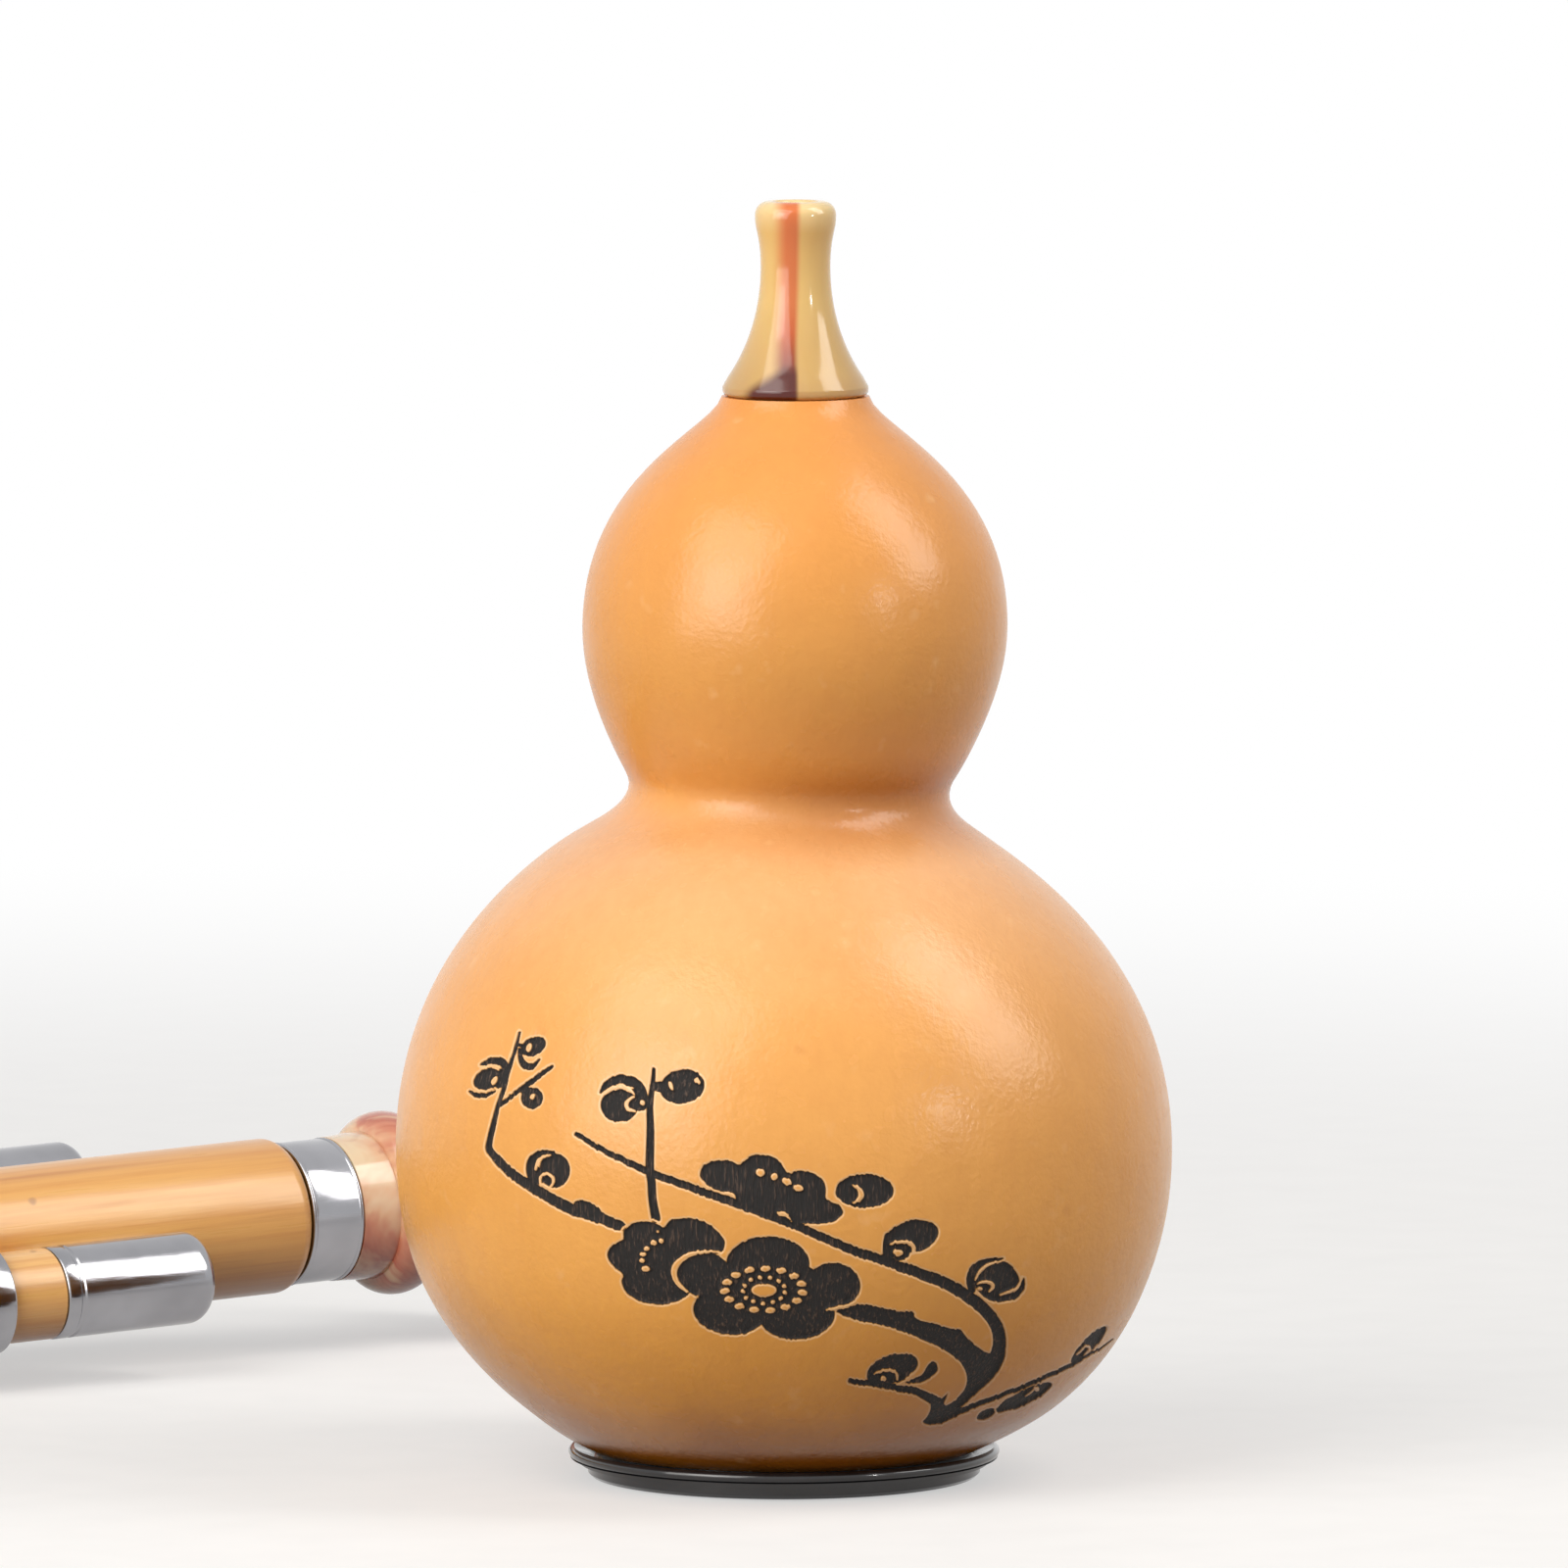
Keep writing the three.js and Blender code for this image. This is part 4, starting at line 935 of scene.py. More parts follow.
def glossBlack():
    material, tree, shader = newMaterial("blackGloss")
    place = objectPlace(tree)
    haze = noise(tree, place, 260.0, 3.0, 0.6)
    colour = ramp(tree, haze, [(0.3, tone(20, 20, 22)), (0.7, tone(34, 34, 37))])
    link(tree, colour, shader, "Base Color")
    link(tree, spread(tree, haze, 0.3, 0.8, 0.10, 0.22), shader, "Roughness")
    scuffs = noise(tree, objectPlace(tree, scale=(1, 1, 6)), 420.0, 2.0, 0.5)
    link(tree, bump(tree, scuffs, 0.06, 0.0003), shader, "Normal")
    setSockets(shader, {"Coat Weight": 0.3, "Coat Roughness": 0.06})
    return material


def makeCollar():
    c = collarSet
    lipMiddle = (c["stepTop"] + c["lipTop"]) / 2
    outline = [(0, 0), (c["foot"] - c["footEdge"], 0), (c["foot"], c["footEdge"]),
               (c["foot"], c["footTop"]), (c["step"], c["footTop"]), (c["step"], c["stepTop"]),
               (c["lip"] - 0.2, c["stepTop"])]
    outline += corner(c["lip"] - c["lipEdge"], lipMiddle, c["lipEdge"], -70, 90, 8)
    outline += [(c["lip"] - 1.6, c["lipTop"] - 0.35), (c["insert"] + 0.3, c["grooveTop"]),
                (c["insert"], c["grooveFoot"]), (c["insert"], c["insertTop"] - c["insertEdge"]),
                (c["insert"] - c["insertEdge"], c["insertTop"]), (0, c["insertTop"])]
    piece = turnPiece("collarRing", outline, c["sides"], ring=False)
    cutters = []
    for aside, radius in ((-c["droneAside"], c["droneSocket"]), (0, c["mainSocket"]),
                          (c["droneAside"], c["droneSocket"])):
        low, high, flare = -1.0, c["insertTop"] + 1.0, c["socketFlare"]
        wide = radius + flare + 0.5
        shaft = [(0, low), (wide, low), (radius, flare), (radius, c["insertTop"] - flare),
                 (wide, high), (0, high)]
        cutter = turnPiece("socketCut", shaft, 72, ring=False)
        cutter.location = (aside * mm, 0, 0)
        applyPlace(cutter)
        cutters.append(cutter)
    cutAway(piece, cutters)
    piece.location = gourdAxis
    applyPlace(piece)
    return piece


dress(makeCollar(), glossBlack(), "gourd", "base_collar")
print("collar turned")


mouthSet = dict(
    base=132.2, top=155.9, collar=8.9, collarEdge=0.7, neck=4.25, neckDrop=8.0,
    lip=4.95, lipDrop=1.9, lipEdge=1.65, bore=2.4, spigot=6.1, spigotLow=123.15, lean=1.4,
    flarePulls=(0.266, 0.214, 0.446), lipPulls=(0.6, 0.28),
    corkInner=6.4, corkOuter=7.3, corkLow=124.15, corkHigh=131.15, veinHigh=23.5,
)


def makeMouthpiece():
    s = mouthSet
    start = (s["collar"], s["base"] + s["collarEdge"] * 2)
    neck = (s["neck"], s["top"] - s["neckDrop"])
    lip = (s["lip"], s["top"] - s["lipDrop"])
    rise = neck[1] - start[1]
    inward, upward, neckPull = s["flarePulls"]
    flare = curve(start, (start[0] - s["collar"] * inward, start[1] + rise * upward),
                  (neck[0], neck[1] - rise * neckPull), neck, 22)
    swell = lip[1] - neck[1]
    lipSide = curve(neck, (neck[0], neck[1] + swell * s["lipPulls"][0]),
                    (lip[0], lip[1] - swell * s["lipPulls"][1]), lip, 12)
    outline = [(s["bore"], s["spigotLow"]), (s["spigot"] - 0.3, s["spigotLow"]),
               (s["spigot"], s["spigotLow"] + 0.3), (s["spigot"], s["base"])]
    edge = s["collarEdge"]
    outline += corner(s["collar"] - edge, s["base"] + edge, edge, -90, 0, 6)
    outline += corner(s["collar"] - 0.3, s["base"] + edge * 2 - 0.35, 0.3, 0, 40, 3)
    outline += flare[2:] + lipSide[1:]
    outline += corner(s["lip"] - s["lipEdge"], s["top"] - s["lipEdge"], s["lipEdge"], 0, 90, 9)
    outline += corner(s["bore"] + 0.5, s["top"] - 0.5, 0.5, 90, 180, 4)
    piece = turnPiece("agateMouthpiece", outline, 128)
    piece.location = gourdAxis + Vector((s["lean"] * mm, 0, 0))
    applyPlace(piece)
    return piece


def mouthAgate():
    material, tree, shader = newMaterial("creamAgate")
    centre = (gourdAxis.x + mouthSet["lean"] * mm, gourdAxis.y, mouthSet["base"] * mm)
    place = objectPlace(tree, centre=centre)
    bands = noise(tree, objectPlace(tree, centre=centre, scale=(1, 1, 0.35)), 130.0, 3.0, 0.5, 0.6)
    sides = add(tree, "ShaderNodeSeparateXYZ", {0: place}).outputs
    height = sides["Z"]
    rise = spread(tree, height, 0.0, mouthSet["veinHigh"] * mm)
    cream = ramp(tree, rise,
                 [(0.0, tone(196, 156, 98)), (0.25, tone(214, 174, 108)), (0.5, tone(231, 193, 118)),
                  (0.85, tone(233, 191, 112)), (1.0, tone(241, 213, 156))])
    cream = mixColour(tree, spread(tree, bands, 0.45, 0.7, 0.0, 0.35), cream, tone(214, 176, 96))
    # the red vein runs down the front, a little left of the middle, and darkens towards the foot
    wobble = noise(tree, objectPlace(tree, centre=centre, scale=(1, 1, 0.5)), 90.0, 1.0, 0.5)
    across = reckon(tree, "ADD", sides["X"], spread(tree, wobble, 0.3, 0.7, 0.0003, 0.0008))
    left = spread(tree, across, -0.0026, -0.0006, 0.0, 1.0, smooth=True)
    right = spread(tree, across, 0.0003, 0.0012, 1.0, 0.0, smooth=True)
    front = reckon(tree, "MULTIPLY", right, spread(tree, sides["Y"], -0.001, 0.001, 1.0, 0.0))
    vein = ramp(tree, rise,
                [(0.0, tone(92, 24, 5)), (0.12, tone(106, 32, 9)), (0.22, tone(154, 64, 26)),
                 (0.34, tone(200, 96, 48)), (0.5, tone(218, 122, 66)), (1.0, tone(222, 118, 58))])
    colour = mixColour(tree, reckon(tree, "MULTIPLY", left, front), cream, vein)
    # dark clouding round the foot of the vein, wider to the left
    cloudTop = spread(tree, across, -0.0062, -0.0008, -0.0006, 0.0026)
    above = reckon(tree, "SUBTRACT", height, cloudTop)
    low = spread(tree, above, 0.0003, 0.0020, 1.0, 0.0, smooth=True)
    wide = spread(tree, across, -0.0064, -0.0044, 0.0, 1.0, smooth=True)
    foot = reckon(tree, "MULTIPLY", reckon(tree, "MULTIPLY", low, wide), front)
    colour = mixColour(tree, foot, colour, tone(86, 20, 3))
    link(tree, colour, shader, "Base Color")
    link(tree, spread(tree, bands, 0.3, 0.7, 0.10, 0.17), shader, "Roughness")
    link(tree, bump(tree, noise(tree, place, 500.0, 2.0), 0.04, 0.0003), shader, "Normal")
    setSockets(shader, {"Subsurface Weight": 0.12, "Subsurface Radius": (0.0025, 0.0015, 0.0008),
                        "Subsurface Scale": 1.0, "Coat Weight": 0.08, "Coat Roughness": 0.05})
    return material


def corkMaterial():
    material, tree, shader = newMaterial("pressedCork")
    place = objectPlace(tree)
    grains = add(tree, "ShaderNodeTexVoronoi", {"Vector": place, "Scale": 950.0, "Randomness": 1.0})
    fine = noise(tree, place, 1700.0, 3.0, 0.6)
    colour = ramp(tree, fine, [(0.3, tone(166, 118, 72)), (0.5, tone(192, 144, 94)),
                               (0.75, tone(214, 170, 118))])
    pits = spread(tree, grains.outputs["Distance"], 0.0, 0.28, 0.75, 0.0)
    colour = mixColour(tree, pits, colour, tone(104, 66, 38))
    link(tree, colour, shader, "Base Color")
    setSockets(shader, {"Roughness": 0.85})
    link(tree, bump(tree, reckon(tree, "SUBTRACT", fine, pits), 0.6, 0.0003), shader, "Normal")
    return material


cork = corkMaterial()


def makeCorkSleeve(name, inner, outer, low, high):
    edge, sides = 0.25, 72
    outline = [(inner, low), *corner(outer - edge, low + edge, edge, -90, 0, 3),
               *corner(outer - edge, high - edge, edge, 0, 90, 3), (inner, high)]
    return turnPiece(name, outline, sides)


dress(makeMouthpiece(), mouthAgate(), "mouthpiece", "mouthpiece")
mouthCork = makeCorkSleeve("mouthCork", mouthSet["corkInner"], mouthSet["corkOuter"],
                           mouthSet["corkLow"], mouthSet["corkHigh"])
mouthCork.location = gourdAxis + Vector((mouthSet["lean"] * mm, 0, 0))
applyPlace(mouthCork)
dress(mouthCork, cork, "mouthpiece", "mouthpiece_cork")
print("mouthpiece turned")


# sizes in mm; heights are measured from the pipes' heads towards their tails
pipeSet = dict(
    gap=0.3, radius=10.0, bore=5.9, length=208.0, tenon=8.2, shoulder=2.0, headEdge=0.6, sides=128,
    fingerHole=3.3, firstHole=50.0, holePitch=18.5, holeCount=6, thumbHole=38.0,
    tailHole=2.6, tailHoles=(166.0, 177.0), ringStep=12.0, ringsBelow=8.0,
)
ferruleSet = dict(length=7.0, inner=8.5, outer=9.3, seam=0.05, roll=0.32, rollWide=0.95, rollHigh=0.12)
bellSet = dict(
    length=34.4, socket=5.0, neck=9.3, beadFoot=9.6, bead=11.9, beadStart=5.2, beadWidth=6.8,
    waist=9.9, flare=19.0, rim=18.78, rimWidth=1.5, sides=144,
)
droneSet = dict(
    radius=5.8, bore=4.3, length=164.7, hole=2.1, holePlace=118.0, aside=16.1, sides=96,
    stopper=5.9, stopperLong=22.0, stopperTip=2.4, grooveDeep=0.18, spigot=4.0, spigotLong=8.0,
)


def bambooMaterial(name, fibreScale, paleness):
    material, tree, shader = newMaterial(name)
    place = pipePlace(tree)
    along = add(tree, "ShaderNodeMapping", {"Vector": place, "Scale": (1, 1, 0.035)}).outputs[0]
    long = add(tree, "ShaderNodeMapping", {"Vector": place, "Scale": (1, 1, 0.25)}).outputs[0]
    fibres = noise(tree, along, fibreScale, 4.0, 0.65)
    threads = noise(tree, along, fibreScale * 0.33, 2.0, 0.5)
    clouds = noise(tree, long, 70.0, 3.0, 0.5)
    colour = ramp(tree, clouds, [(0.25, tone(214, 149, 66)), (0.5, tone(229, 168, 82)),
                                 (0.78, tone(238, 190, 112))])
    colour = mixColour(tree, paleness, colour, tone(246, 204, 148))
    colour = mixColour(tree, spread(tree, fibres, 0.42, 0.72, 0.0, 0.42), colour, tone(196, 118, 52))
    colour = mixColour(tree, spread(tree, threads, 0.62, 0.72, 0.0, 0.35), colour, tone(170, 96, 40))
    spots = noise(tree, place, 260.0, 1.0, 0.4)
    colour = mixColour(tree, spread(tree, spots, 0.77, 0.82, 0.0, 0.5), colour, tone(120, 66, 30))
    link(tree, colour, shader, "Base Color")
    link(tree, spread(tree, fibres, 0.3, 0.7, 0.26, 0.38), shader, "Roughness")
    link(tree, bump(tree, fibres, 0.18, 0.0003), shader, "Normal")
    setSockets(shader, {"Coat Weight": 0.4, "Coat Roughness": 0.18})
    return material


def silverMaterial():
    material, tree, shader = newMaterial("silverPlate")
    lines = noise(tree, pipePlace(tree, (1, 1, 12)), 260.0, 3.0, 0.6)
    haze = noise(tree, objectPlace(tree), 60.0, 3.0, 0.6)
    silverTones = ramp(tree, haze, [(0.3, tone(146, 146, 150)), (0.7, tone(168, 168, 172))])
    link(tree, silverTones, shader, "Base Color")
    setSockets(shader, {"Metallic": 1.0})
    link(tree, spread(tree, lines, 0.3, 0.7, 0.10, 0.20), shader, "Roughness")
    link(tree, bump(tree, lines, 0.05, 0.0002), shader, "Normal")
    return material


def makeHoleCutter(name, radius, reach, along, side):
    # straight hole with a worn, opened rim; reach is the pipe's radius, where its skin is
    outline = [(0, 0), (radius, 0), (radius, reach - 1.1), (radius + 0.12, reach - 0.55),
               (radius + 0.42, reach), (radius + 1.1, reach + 1.0), (0, reach + 1.0)]
    cutter = turnPiece(name, outline, 40, ring=False)
    cutter.matrix_world = (Matrix.Translation((0, 0, along * mm))
                           @ Matrix.Rotation(math.radians(90 if side < 0 else -90), 4, "X"))
    applyPlace(cutter)
    return cutter


def pipeRings(radius, tail, head):
    # rings along the pipe's wall, so that its long faces aren't slivers
    step = pipeSet["ringStep"]
    return [(radius, z) for z in np.arange(tail + step, head - pipeSet["ringsBelow"], step)]


def makeMainPipe():
    p = pipeSet
    head, tail = -p["gap"], -p["gap"] - p["length"]
    tenonEnd = tail - p["gap"] - ferruleSet["length"] - p["gap"] - bellSet["socket"]
    outline = [(p["bore"], tenonEnd), (p["tenon"] - 0.5, tenonEnd), (p["tenon"], tenonEnd + 0.5),
               (p["tenon"], tail)]
    shoulder = corner(p["radius"] - p["shoulder"], tail + p["shoulder"], p["shoulder"], -90, 0, 10)
    outline += [spot for spot in shoulder if spot[0] > p["tenon"]]
    outline += pipeRings(p["radius"], tail, head)
    outline += corner(p["radius"] - p["headEdge"], head - p["headEdge"], p["headEdge"], 0, 90, 4)
    outline += corner(p["bore"] + 0.4, head - 0.4, 0.4, 90, 180, 3)
    piece = turnPiece("bambooPipe", outline, p["sides"])
    holes = [("fingerCut", p["fingerHole"], p["firstHole"] + i * p["holePitch"], -1)
             for i in range(p["holeCount"])]
    holes.append(("thumbCut", p["fingerHole"], p["thumbHole"], 1))
    holes += [("tailCut", p["tailHole"], place, 1) for place in p["tailHoles"]]
    cutAway(piece, [makeHoleCutter(name, radius, p["radius"], head - place, side)
                    for name, radius, place, side in holes])
    return layDown(piece)


def makeFerrule():
    f = ferruleSet
    top = -pipeSet["gap"] - pipeSet["length"] - f["seam"]
    low = -pipeSet["gap"] * 3 - pipeSet["length"] - f["length"] + f["seam"]
    roll, wall = f["roll"], f["outer"] - f["rollHigh"]
    outline = [(f["inner"], low), *corner(f["outer"] - roll, low + roll, roll, -90, 60, 6),
               (wall, low + f["rollWide"]), (wall, top - f["rollWide"]),
               *corner(f["outer"] - roll, top - roll, roll, -60, 90, 6), (f["inner"], top)]
    return layDown(turnPiece("silverFerrule", outline, pipeSet["sides"]))


def makeBell():
    b = bellSet
    top = -pipeSet["gap"] * 3 - pipeSet["length"] - ferruleSet["length"]
    bore, inner = pipeSet["bore"], ferruleSet["inner"]
    beadHigh = b["bead"] - b["beadFoot"]
    beadEnd = b["beadStart"] + b["beadWidth"]
    bead = []
    for i in range(19):
        turn = math.pi * i / 18
        bead.append((b["beadFoot"] + beadHigh * math.sin(turn),
                     -(b["beadStart"] + b["beadWidth"] / 2 * (1 - math.cos(turn)))))
    waist = (b["waist"], -(b["length"] - b["flare"]))
    rim = (b["rim"], -(b["length"] - b["rimWidth"]))
    outside = curve(waist, (waist[0], waist[1] - b["flare"] * 0.6),
                    (rim[0] - b["rimWidth"] * 2, rim[1] + b["rimWidth"] * 2), rim, 26)
    mouth = (b["rim"] - b["rimWidth"], -b["length"])
    throat = (bore, -(beadEnd - b["beadWidth"] / 3))
    inside = curve(mouth, (mouth[0] - b["rimWidth"] * 2, mouth[1] + b["rimWidth"] * 2),
                   (throat[0], throat[1] - b["flare"] * 0.7), throat, 26)
    lip = corner(b["rim"] - 0.75, -(b["length"] - 0.75), 0.75, -90, 20, 7)
    seat = -b["socket"] - pipeSet["gap"]
    outline = [(inner, 0), (inner, seat), (bore, seat), *inside[::-1], *lip[1:],
               *outside[::-1][1:], *bead[::-1], (b["neck"], 0)]
    return layDown(turnPiece("agateBell", [(r, z + top) for r, z in outline], b["sides"]))


def bellAgate():
    material, tree, shader = newMaterial("redAgate")
    place = pipePlace(tree)
    swirl = noise(tree, place, 46.0, 4.0, 0.55, 1.6)
    fine = noise(tree, place, 150.0, 3.0, 0.6, 0.8)
    colour = ramp(tree, swirl, [(0.30, tone(232, 204, 167)), (0.43, tone(224, 176, 138)),
                                (0.5, tone(207, 134, 102)), (0.58, tone(186, 98, 70)),
                                (0.68, tone(226, 186, 148))])
    colour = mixColour(tree, spread(tree, fine, 0.6, 0.75, 0.0, 0.5), colour, tone(150, 62, 40))
    link(tree, colour, shader, "Base Color")
    link(tree, spread(tree, fine, 0.3, 0.7, 0.10, 0.18), shader, "Roughness")
    link(tree, bump(tree, fine, 0.03, 0.0003), shader, "Normal")
    setSockets(shader, {"Subsurface Weight": 0.15, "Subsurface Radius": (0.003, 0.0015, 0.001),
                        "Subsurface Scale": 1.0, "Coat Weight": 0.35, "Coat Roughness": 0.05})
    return material


def makeDrone():
    d = droneSet
    head, tail = -pipeSet["gap"], -pipeSet["gap"] - d["length"]
    outline = [(d["bore"], tail), (d["radius"] - 0.2, tail), (d["radius"], tail + 0.2)]
    outline += pipeRings(d["radius"], tail, head)
    outline += corner(d["radius"] - 0.4, head - 0.4, 0.4, 0, 90, 3)
    outline += [(d["bore"] + 0.2, head), (d["bore"], head - 0.2)]
    piece = turnPiece("dronePipe", outline, d["sides"])
    hole = makeHoleCutter("droneCut", d["hole"], d["radius"], head - d["holePlace"], -1)
    return cutAway(piece, [hole])


def makeStopper():
    d = droneSet
    top = -pipeSet["gap"] - d["length"] - ferruleSet["seam"]
    end = -pipeSet["gap"] * 2 - d["length"] - d["stopperLong"]
    wide, tip, groove = d["stopper"], d["stopperTip"], d["stopper"] - d["grooveDeep"]
    spigot, spigotTop = d["spigot"], top + d["spigotLong"]
    outline = [(0, end), *corner(wide - tip, end + tip, tip, -90, 0, 10)]
    outline += [(wide, top - 2.6), (groove, top - 2.4), (groove, top - 2.0), (wide, top - 1.8),
                *corner(wide - 0.3, top - 0.3, 0.3, 0, 90, 3)]
    outline += [(spigot, top), (spigot, spigotTop - 0.4), (spigot - 0.4, spigotTop), (0, spigotTop)]
    return turnPiece("droneStopper", outline, d["sides"], ring=False)


silver = silverMaterial()
dress(makeMainPipe(), bambooMaterial("bambooMain", 900.0, 0.10), "pipe_set", "main_pipe")
dress(makeFerrule(), silver, "pipe_set", "tail_ferrule")
dress(makeBell(), bellAgate(), "pipe_set", "tail_bell")
print("main pipe, ferrule and bell turned")

droneBamboo = bambooMaterial("bambooDrone", 1100.0, 0.28)
firstDrone, firstStopper = makeDrone(), makeStopper()
for side, aside in (("left", -droneSet["aside"]), ("right", droneSet["aside"])):
    pipe = layDown(copyPiece(firstDrone, side + "DronePipe"), aside)
    dress(pipe, droneBamboo, "pipe_set", side + "_drone_pipe")
    stopper = layDown(copyPiece(firstStopper, side + "DroneStopper"), aside)
    dress(stopper, silver, side + "_stopper", side + "_drone_stopper")
bpy.data.objects.remove(firstDrone)
bpy.data.objects.remove(firstStopper)
print("drone pipes turned")


bandSet = dict(wall=0.8, width=5.0, places=dict(upper=14.0, lower=152.0), steps=22, edge=0.28)


def bundleLine(distance):
    # the line that a strap takes round the three pipes
    big, small, far = pipeSet["radius"] + distance, droneSet["radius"] + distance, droneSet["aside"]
    lean = math.degrees(math.acos((big - small) / far))
    arcs = [(far, small, -lean, lean), (0, big, lean, 180 - lean),
            (-far, small, 180 - lean, 180 + lean), (0, big, 180 + lean, 360 - lean)]
    made = []
    for middle, radius, start, end in arcs:
        steps = bandSet["steps"] if abs(end - start) > 60 else bandSet["steps"] // 2
        for i in range(steps + 1):
            turn = math.radians(start + (end - start) * i / steps)
            made.append((middle + radius * math.cos(turn), radius * math.sin(turn), 0))
    return made


def makeBand(name, place):
    gap, wall, width = pipeSet["gap"], bandSet["wall"], bandSet["width"]
    line = [(x, y, -place - width) for x, y, z in bundleLine(gap + wall / 2)]
    piece = drawEdge(name, line, closed=True)
    bpy.ops.mesh.extrude_region_move(TRANSFORM_OT_translate={"value": (0, 0, width * mm)})
    closeShape(piece)
    solid = piece.modifiers.new("wall", "SOLIDIFY")
    solid.thickness = wall * mm
    solid.offset = 0
    solid.use_even_offset = True
    applyModifiers(piece)
    roundEdges(piece, bandSet["edge"], 4, 50)
    return layDown(piece)


for side, place in bandSet["places"].items():
    dress(makeBand(side + "Strap", place), silver, "pipe_set", side + "_band")
print("bands bent")


reedSet = dict(
    insert=16.0, plugHead=1.6, plugSpigot=4.0, plugTrim=0.08, dimple=(0.45, 0.38), dimpleDeep=0.25,
    corkWall=0.8, corkLow=1.0, corkHigh=9.0, gap=0.3, edge=0.3, sides=72,
    plateThick=0.5, plateCorner=0.5, plateEdge=0.09, tongueThick=0.35, tongueEdge=0.05,
    main=dict(tube=5.6, bore=3.6, top=58.0, flat=4.4, plateWide=6.0, plateLong=21.0, plateTop=52.0,
              root=2.8, tip=0.8, tongue=15.0),
    drone=dict(tube=4.0, bore=2.6, top=47.0, flat=3.1, plateWide=4.4, plateLong=16.0, plateTop=42.0,
               root=1.9, tip=0.6, tongue=11.0),
)


def reedResin():
    material, tree, shader = newMaterial("darkResin")
    place = objectPlace(tree)
    haze = noise(tree, place, 420.0, 3.0, 0.6)
    colour = ramp(tree, haze, [(0.3, tone(34, 28, 26)), (0.7, tone(56, 47, 43))])
    link(tree, colour, shader, "Base Color")
    link(tree, spread(tree, haze, 0.3, 0.7, 0.28, 0.4), shader, "Roughness")
    link(tree, bump(tree, noise(tree, place, 1400.0, 2.0), 0.12, 0.0002), shader, "Normal")
    return material


def brassMaterial():
    material, tree, shader = newMaterial("reedBrass")
    filed = noise(tree, pipePlace(tree, (1, 1, 0.06)), 2600.0, 3.0, 0.6)
    stain = noise(tree, objectPlace(tree), 240.0, 3.0, 0.6)
    colour = ramp(tree, stain, [(0.3, tone(196, 148, 74)), (0.55, tone(222, 178, 98)),
                                (0.8, tone(176, 122, 62))])
    link(tree, colour, shader, "Base Color")
    setSockets(shader, {"Metallic": 1.0})
    link(tree, spread(tree, filed, 0.3, 0.7, 0.24, 0.38), shader, "Roughness")
    link(tree, bump(tree, filed, 0.15, 0.0002), shader, "Normal")
    return material


def taperedBar(name, rootWide, tipWide, long, thick, inner, top, cornerRound=0.0):
    # a bar narrowing towards its tip, lying on the reed tube's flat; its front face towards -Y
    deselectAll()
    bpy.ops.mesh.primitive_cube_add(size=1)
    bar = bpy.context.object
    bar.name = name
    middle = (top - long / 2) * mm
    bar.scale = (rootWide * mm, thick * mm, long * mm)
    bar.location = (0, -(inner + thick / 2) * mm, middle)
    applyPlace(bar)
    bpy.ops.object.mode_set(mode="EDIT")
    shape = bmesh.from_edit_mesh(bar.data)
    for vertex in shape.verts:
        vertex.select_set(vertex.co.z < middle)
    shape.select_flush_mode()
    bmesh.update_edit_mesh(bar.data)
    bpy.ops.transform.resize(value=(tipWide / rootWide, 1, 1), center_override=(0, 0, 0))
    if cornerRound:
        for edge in shape.edges:
            along = edge.verts[1].co - edge.verts[0].co
            edge.select_set(abs(along.y) > abs(along.x) + abs(along.z))
        bmesh.update_edit_mesh(bar.data)
        bpy.ops.mesh.bevel(offset=cornerRound * mm, segments=5, affect="EDGES")
    bpy.ops.object.mode_set(mode="OBJECT")
    return bar


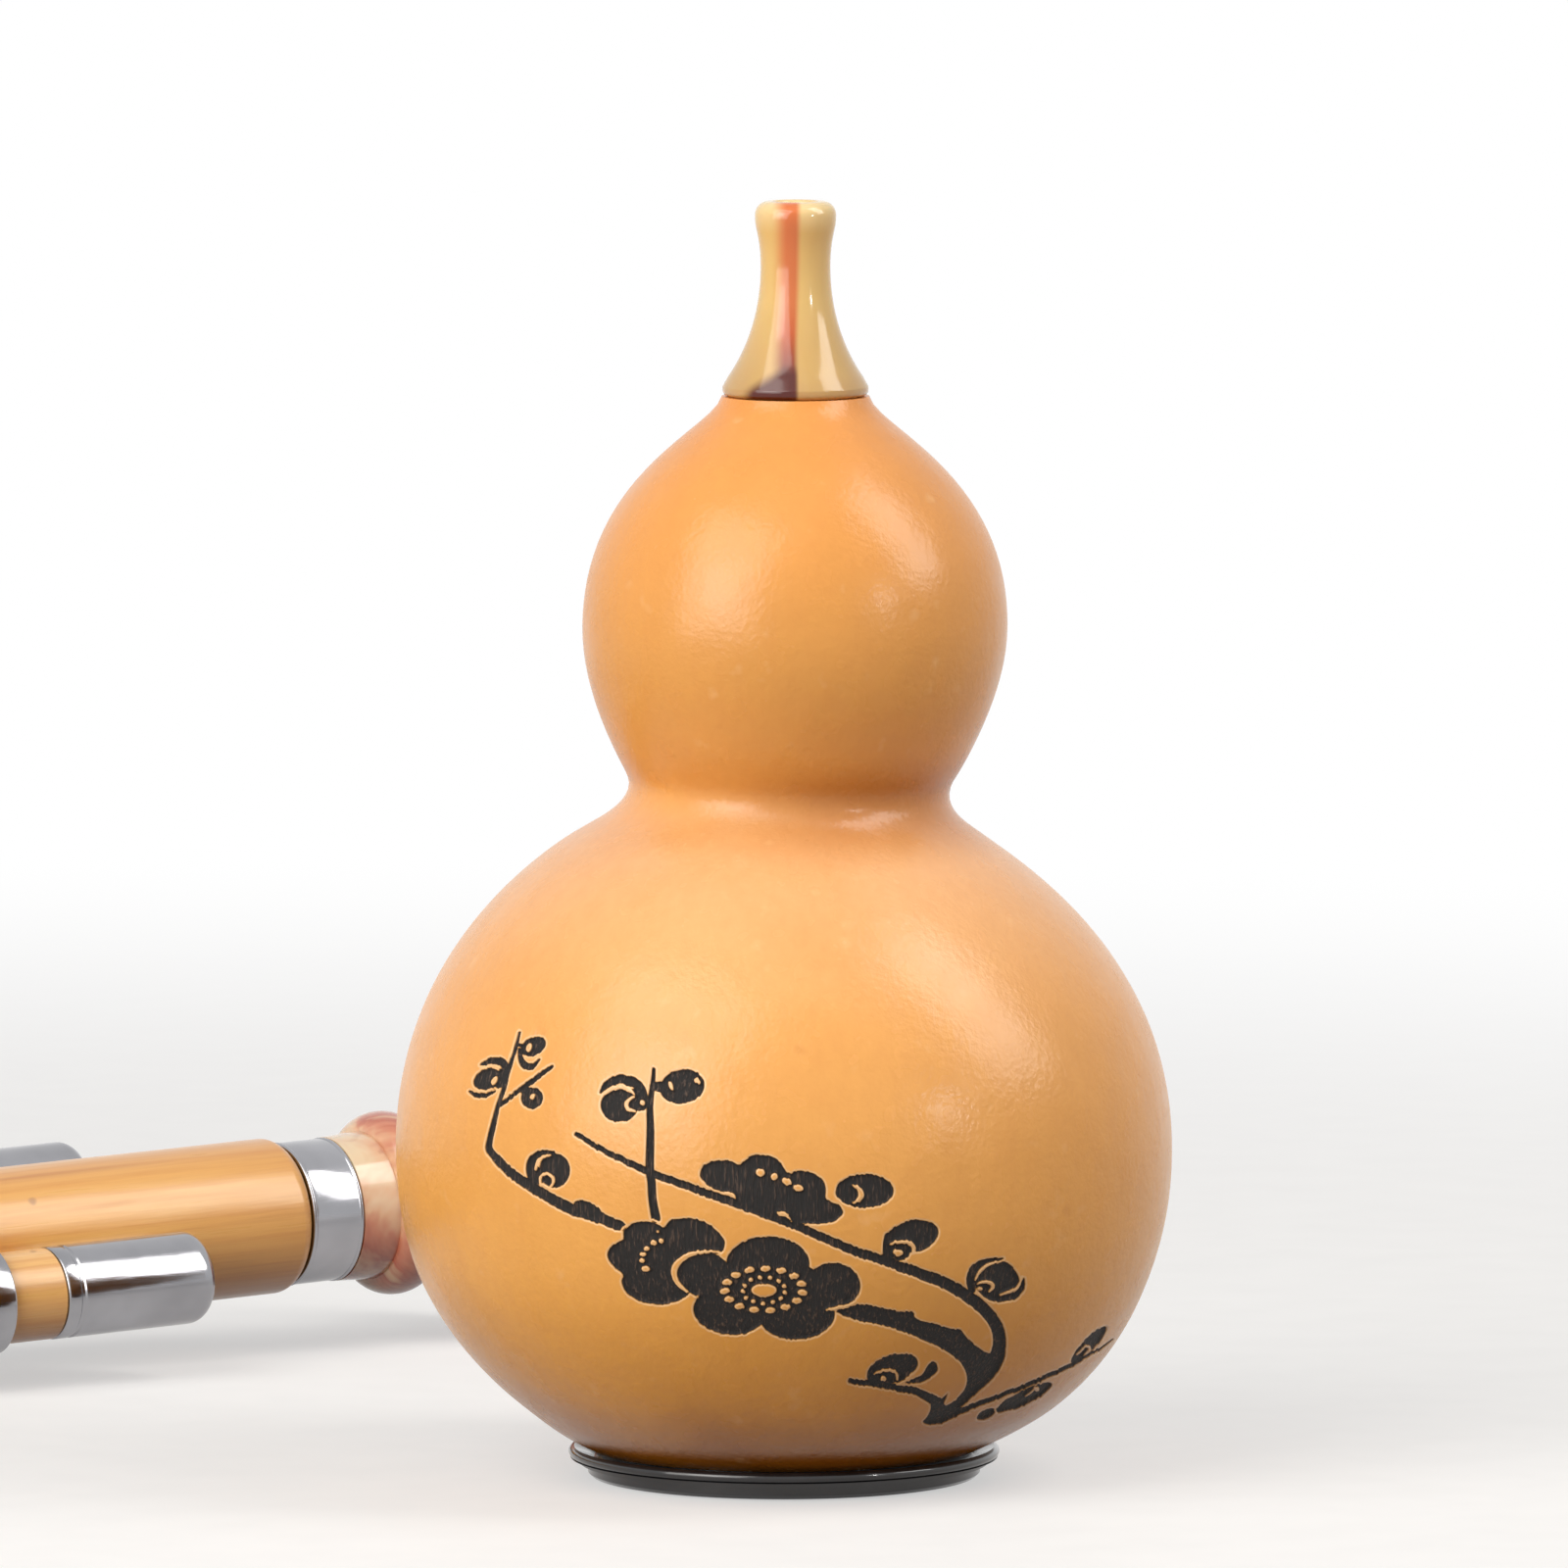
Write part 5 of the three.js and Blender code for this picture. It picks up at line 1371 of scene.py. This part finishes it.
def makeReedHead(kind):
    r, s = reedSet[kind], reedSet
    gap, edge, low, top = s["gap"], s["edge"], -s["gap"] - s["insert"], r["top"]
    tubeLine = [(r["bore"], low), *corner(r["tube"] - edge, low + edge, edge, -90, 0, 3),
                *corner(r["tube"] - edge, top - edge, edge, 0, 90, 3), (r["bore"], top)]
    tube = turnPiece("reedTube", tubeLine, s["sides"])
    rootTop = r["plateTop"] - (r["plateLong"] - r["tongue"]) / 2

    def opening(name, grow):
        # as the tongue, wider by grow on each side, through the wall
        return taperedBar(name, r["root"] + grow * 2, r["tip"] + grow * 2, r["tongue"] + grow * 2,
                          r["tube"], 0.0, rootTop + grow)

    wide = r["tube"] * 2 + 2
    cutAway(tube, [taperedBar("flatCut", wide, wide, r["plateLong"] + gap * 2, r["tube"], r["flat"],
                              r["plateTop"] + gap)])
    cutAway(tube, [opening("windowCut", gap * 2)])

    inner = r["flat"] + gap
    plate = taperedBar("reedPlate", r["plateWide"], r["plateWide"], r["plateLong"], s["plateThick"],
                       inner, r["plateTop"], s["plateCorner"])
    cutAway(plate, [opening("slitCut", gap)])
    roundEdges(plate, s["plateEdge"], 2)

    tongueIn = inner + (s["plateThick"] - s["tongueThick"]) / 2
    tongue = taperedBar("reedTongue", r["root"], r["tip"], r["tongue"], s["tongueThick"],
                        tongueIn, rootTop)
    roundEdges(tongue, s["tongueEdge"], 2)

    # the plug: a spigot in the bore, and a head with a shallow dimple
    spigot, rim = r["bore"] - gap, r["tube"] - s["plugTrim"]
    foot, seat, headTop = top - s["plugSpigot"], top + gap, top + gap + s["plugHead"]
    dimple, dimpleFloor = (r["tube"] * share for share in s["dimple"])
    plugLine = [(0, foot), (spigot - 0.2, foot), (spigot, foot + 0.2), (spigot, seat),
                (rim - 0.15, seat), (rim, seat + 0.15),
                *corner(rim - 0.5, headTop - 0.5, 0.5, 0, 90, 5),
                (dimple, headTop), (dimpleFloor, headTop - s["dimpleDeep"]), (0, headTop - 0.3)]
    plug = turnPiece("reedPlug", plugLine, s["sides"], ring=False)
    sleeve = makeCorkSleeve("socketCork", r["tube"] + gap, r["tube"] + gap + s["corkWall"],
                            s["corkLow"], s["corkHigh"])
    return dict(Tube=tube, Plate=plate, Tongue=tongue, Plug=plug, Cork=sleeve)


resin, brass = reedResin(), brassMaterial()
headFinish = dict(
    Tube=(resin, "reed_resin", "_reed_tube"),
    Plate=(brass, "reed_brass", "_reed_plate"),
    Tongue=(brass, "reed_brass", "_reed_tongue"),
    Plug=(resin, "reed_resin", "_reed_plug"),
    Cork=(cork, "cork", "_socket_cork"),
)
for kind, sides in (("main", (("main", 0.0),)),
                    ("drone", (("left", -droneSet["aside"]), ("right", droneSet["aside"])))):
    made = makeReedHead(kind)
    for side, aside in sides:
        for part, first in made.items():
            material, slot, node = headFinish[part]
            piece = layDown(copyPiece(first, side + "Reed" + part), aside)
            body = side + "_tongue" if part == "Tongue" else "pipe_set"
            dress(piece, material, body, side + node)
    for first in made.values():
        bpy.data.objects.remove(first)
print("reed heads made")
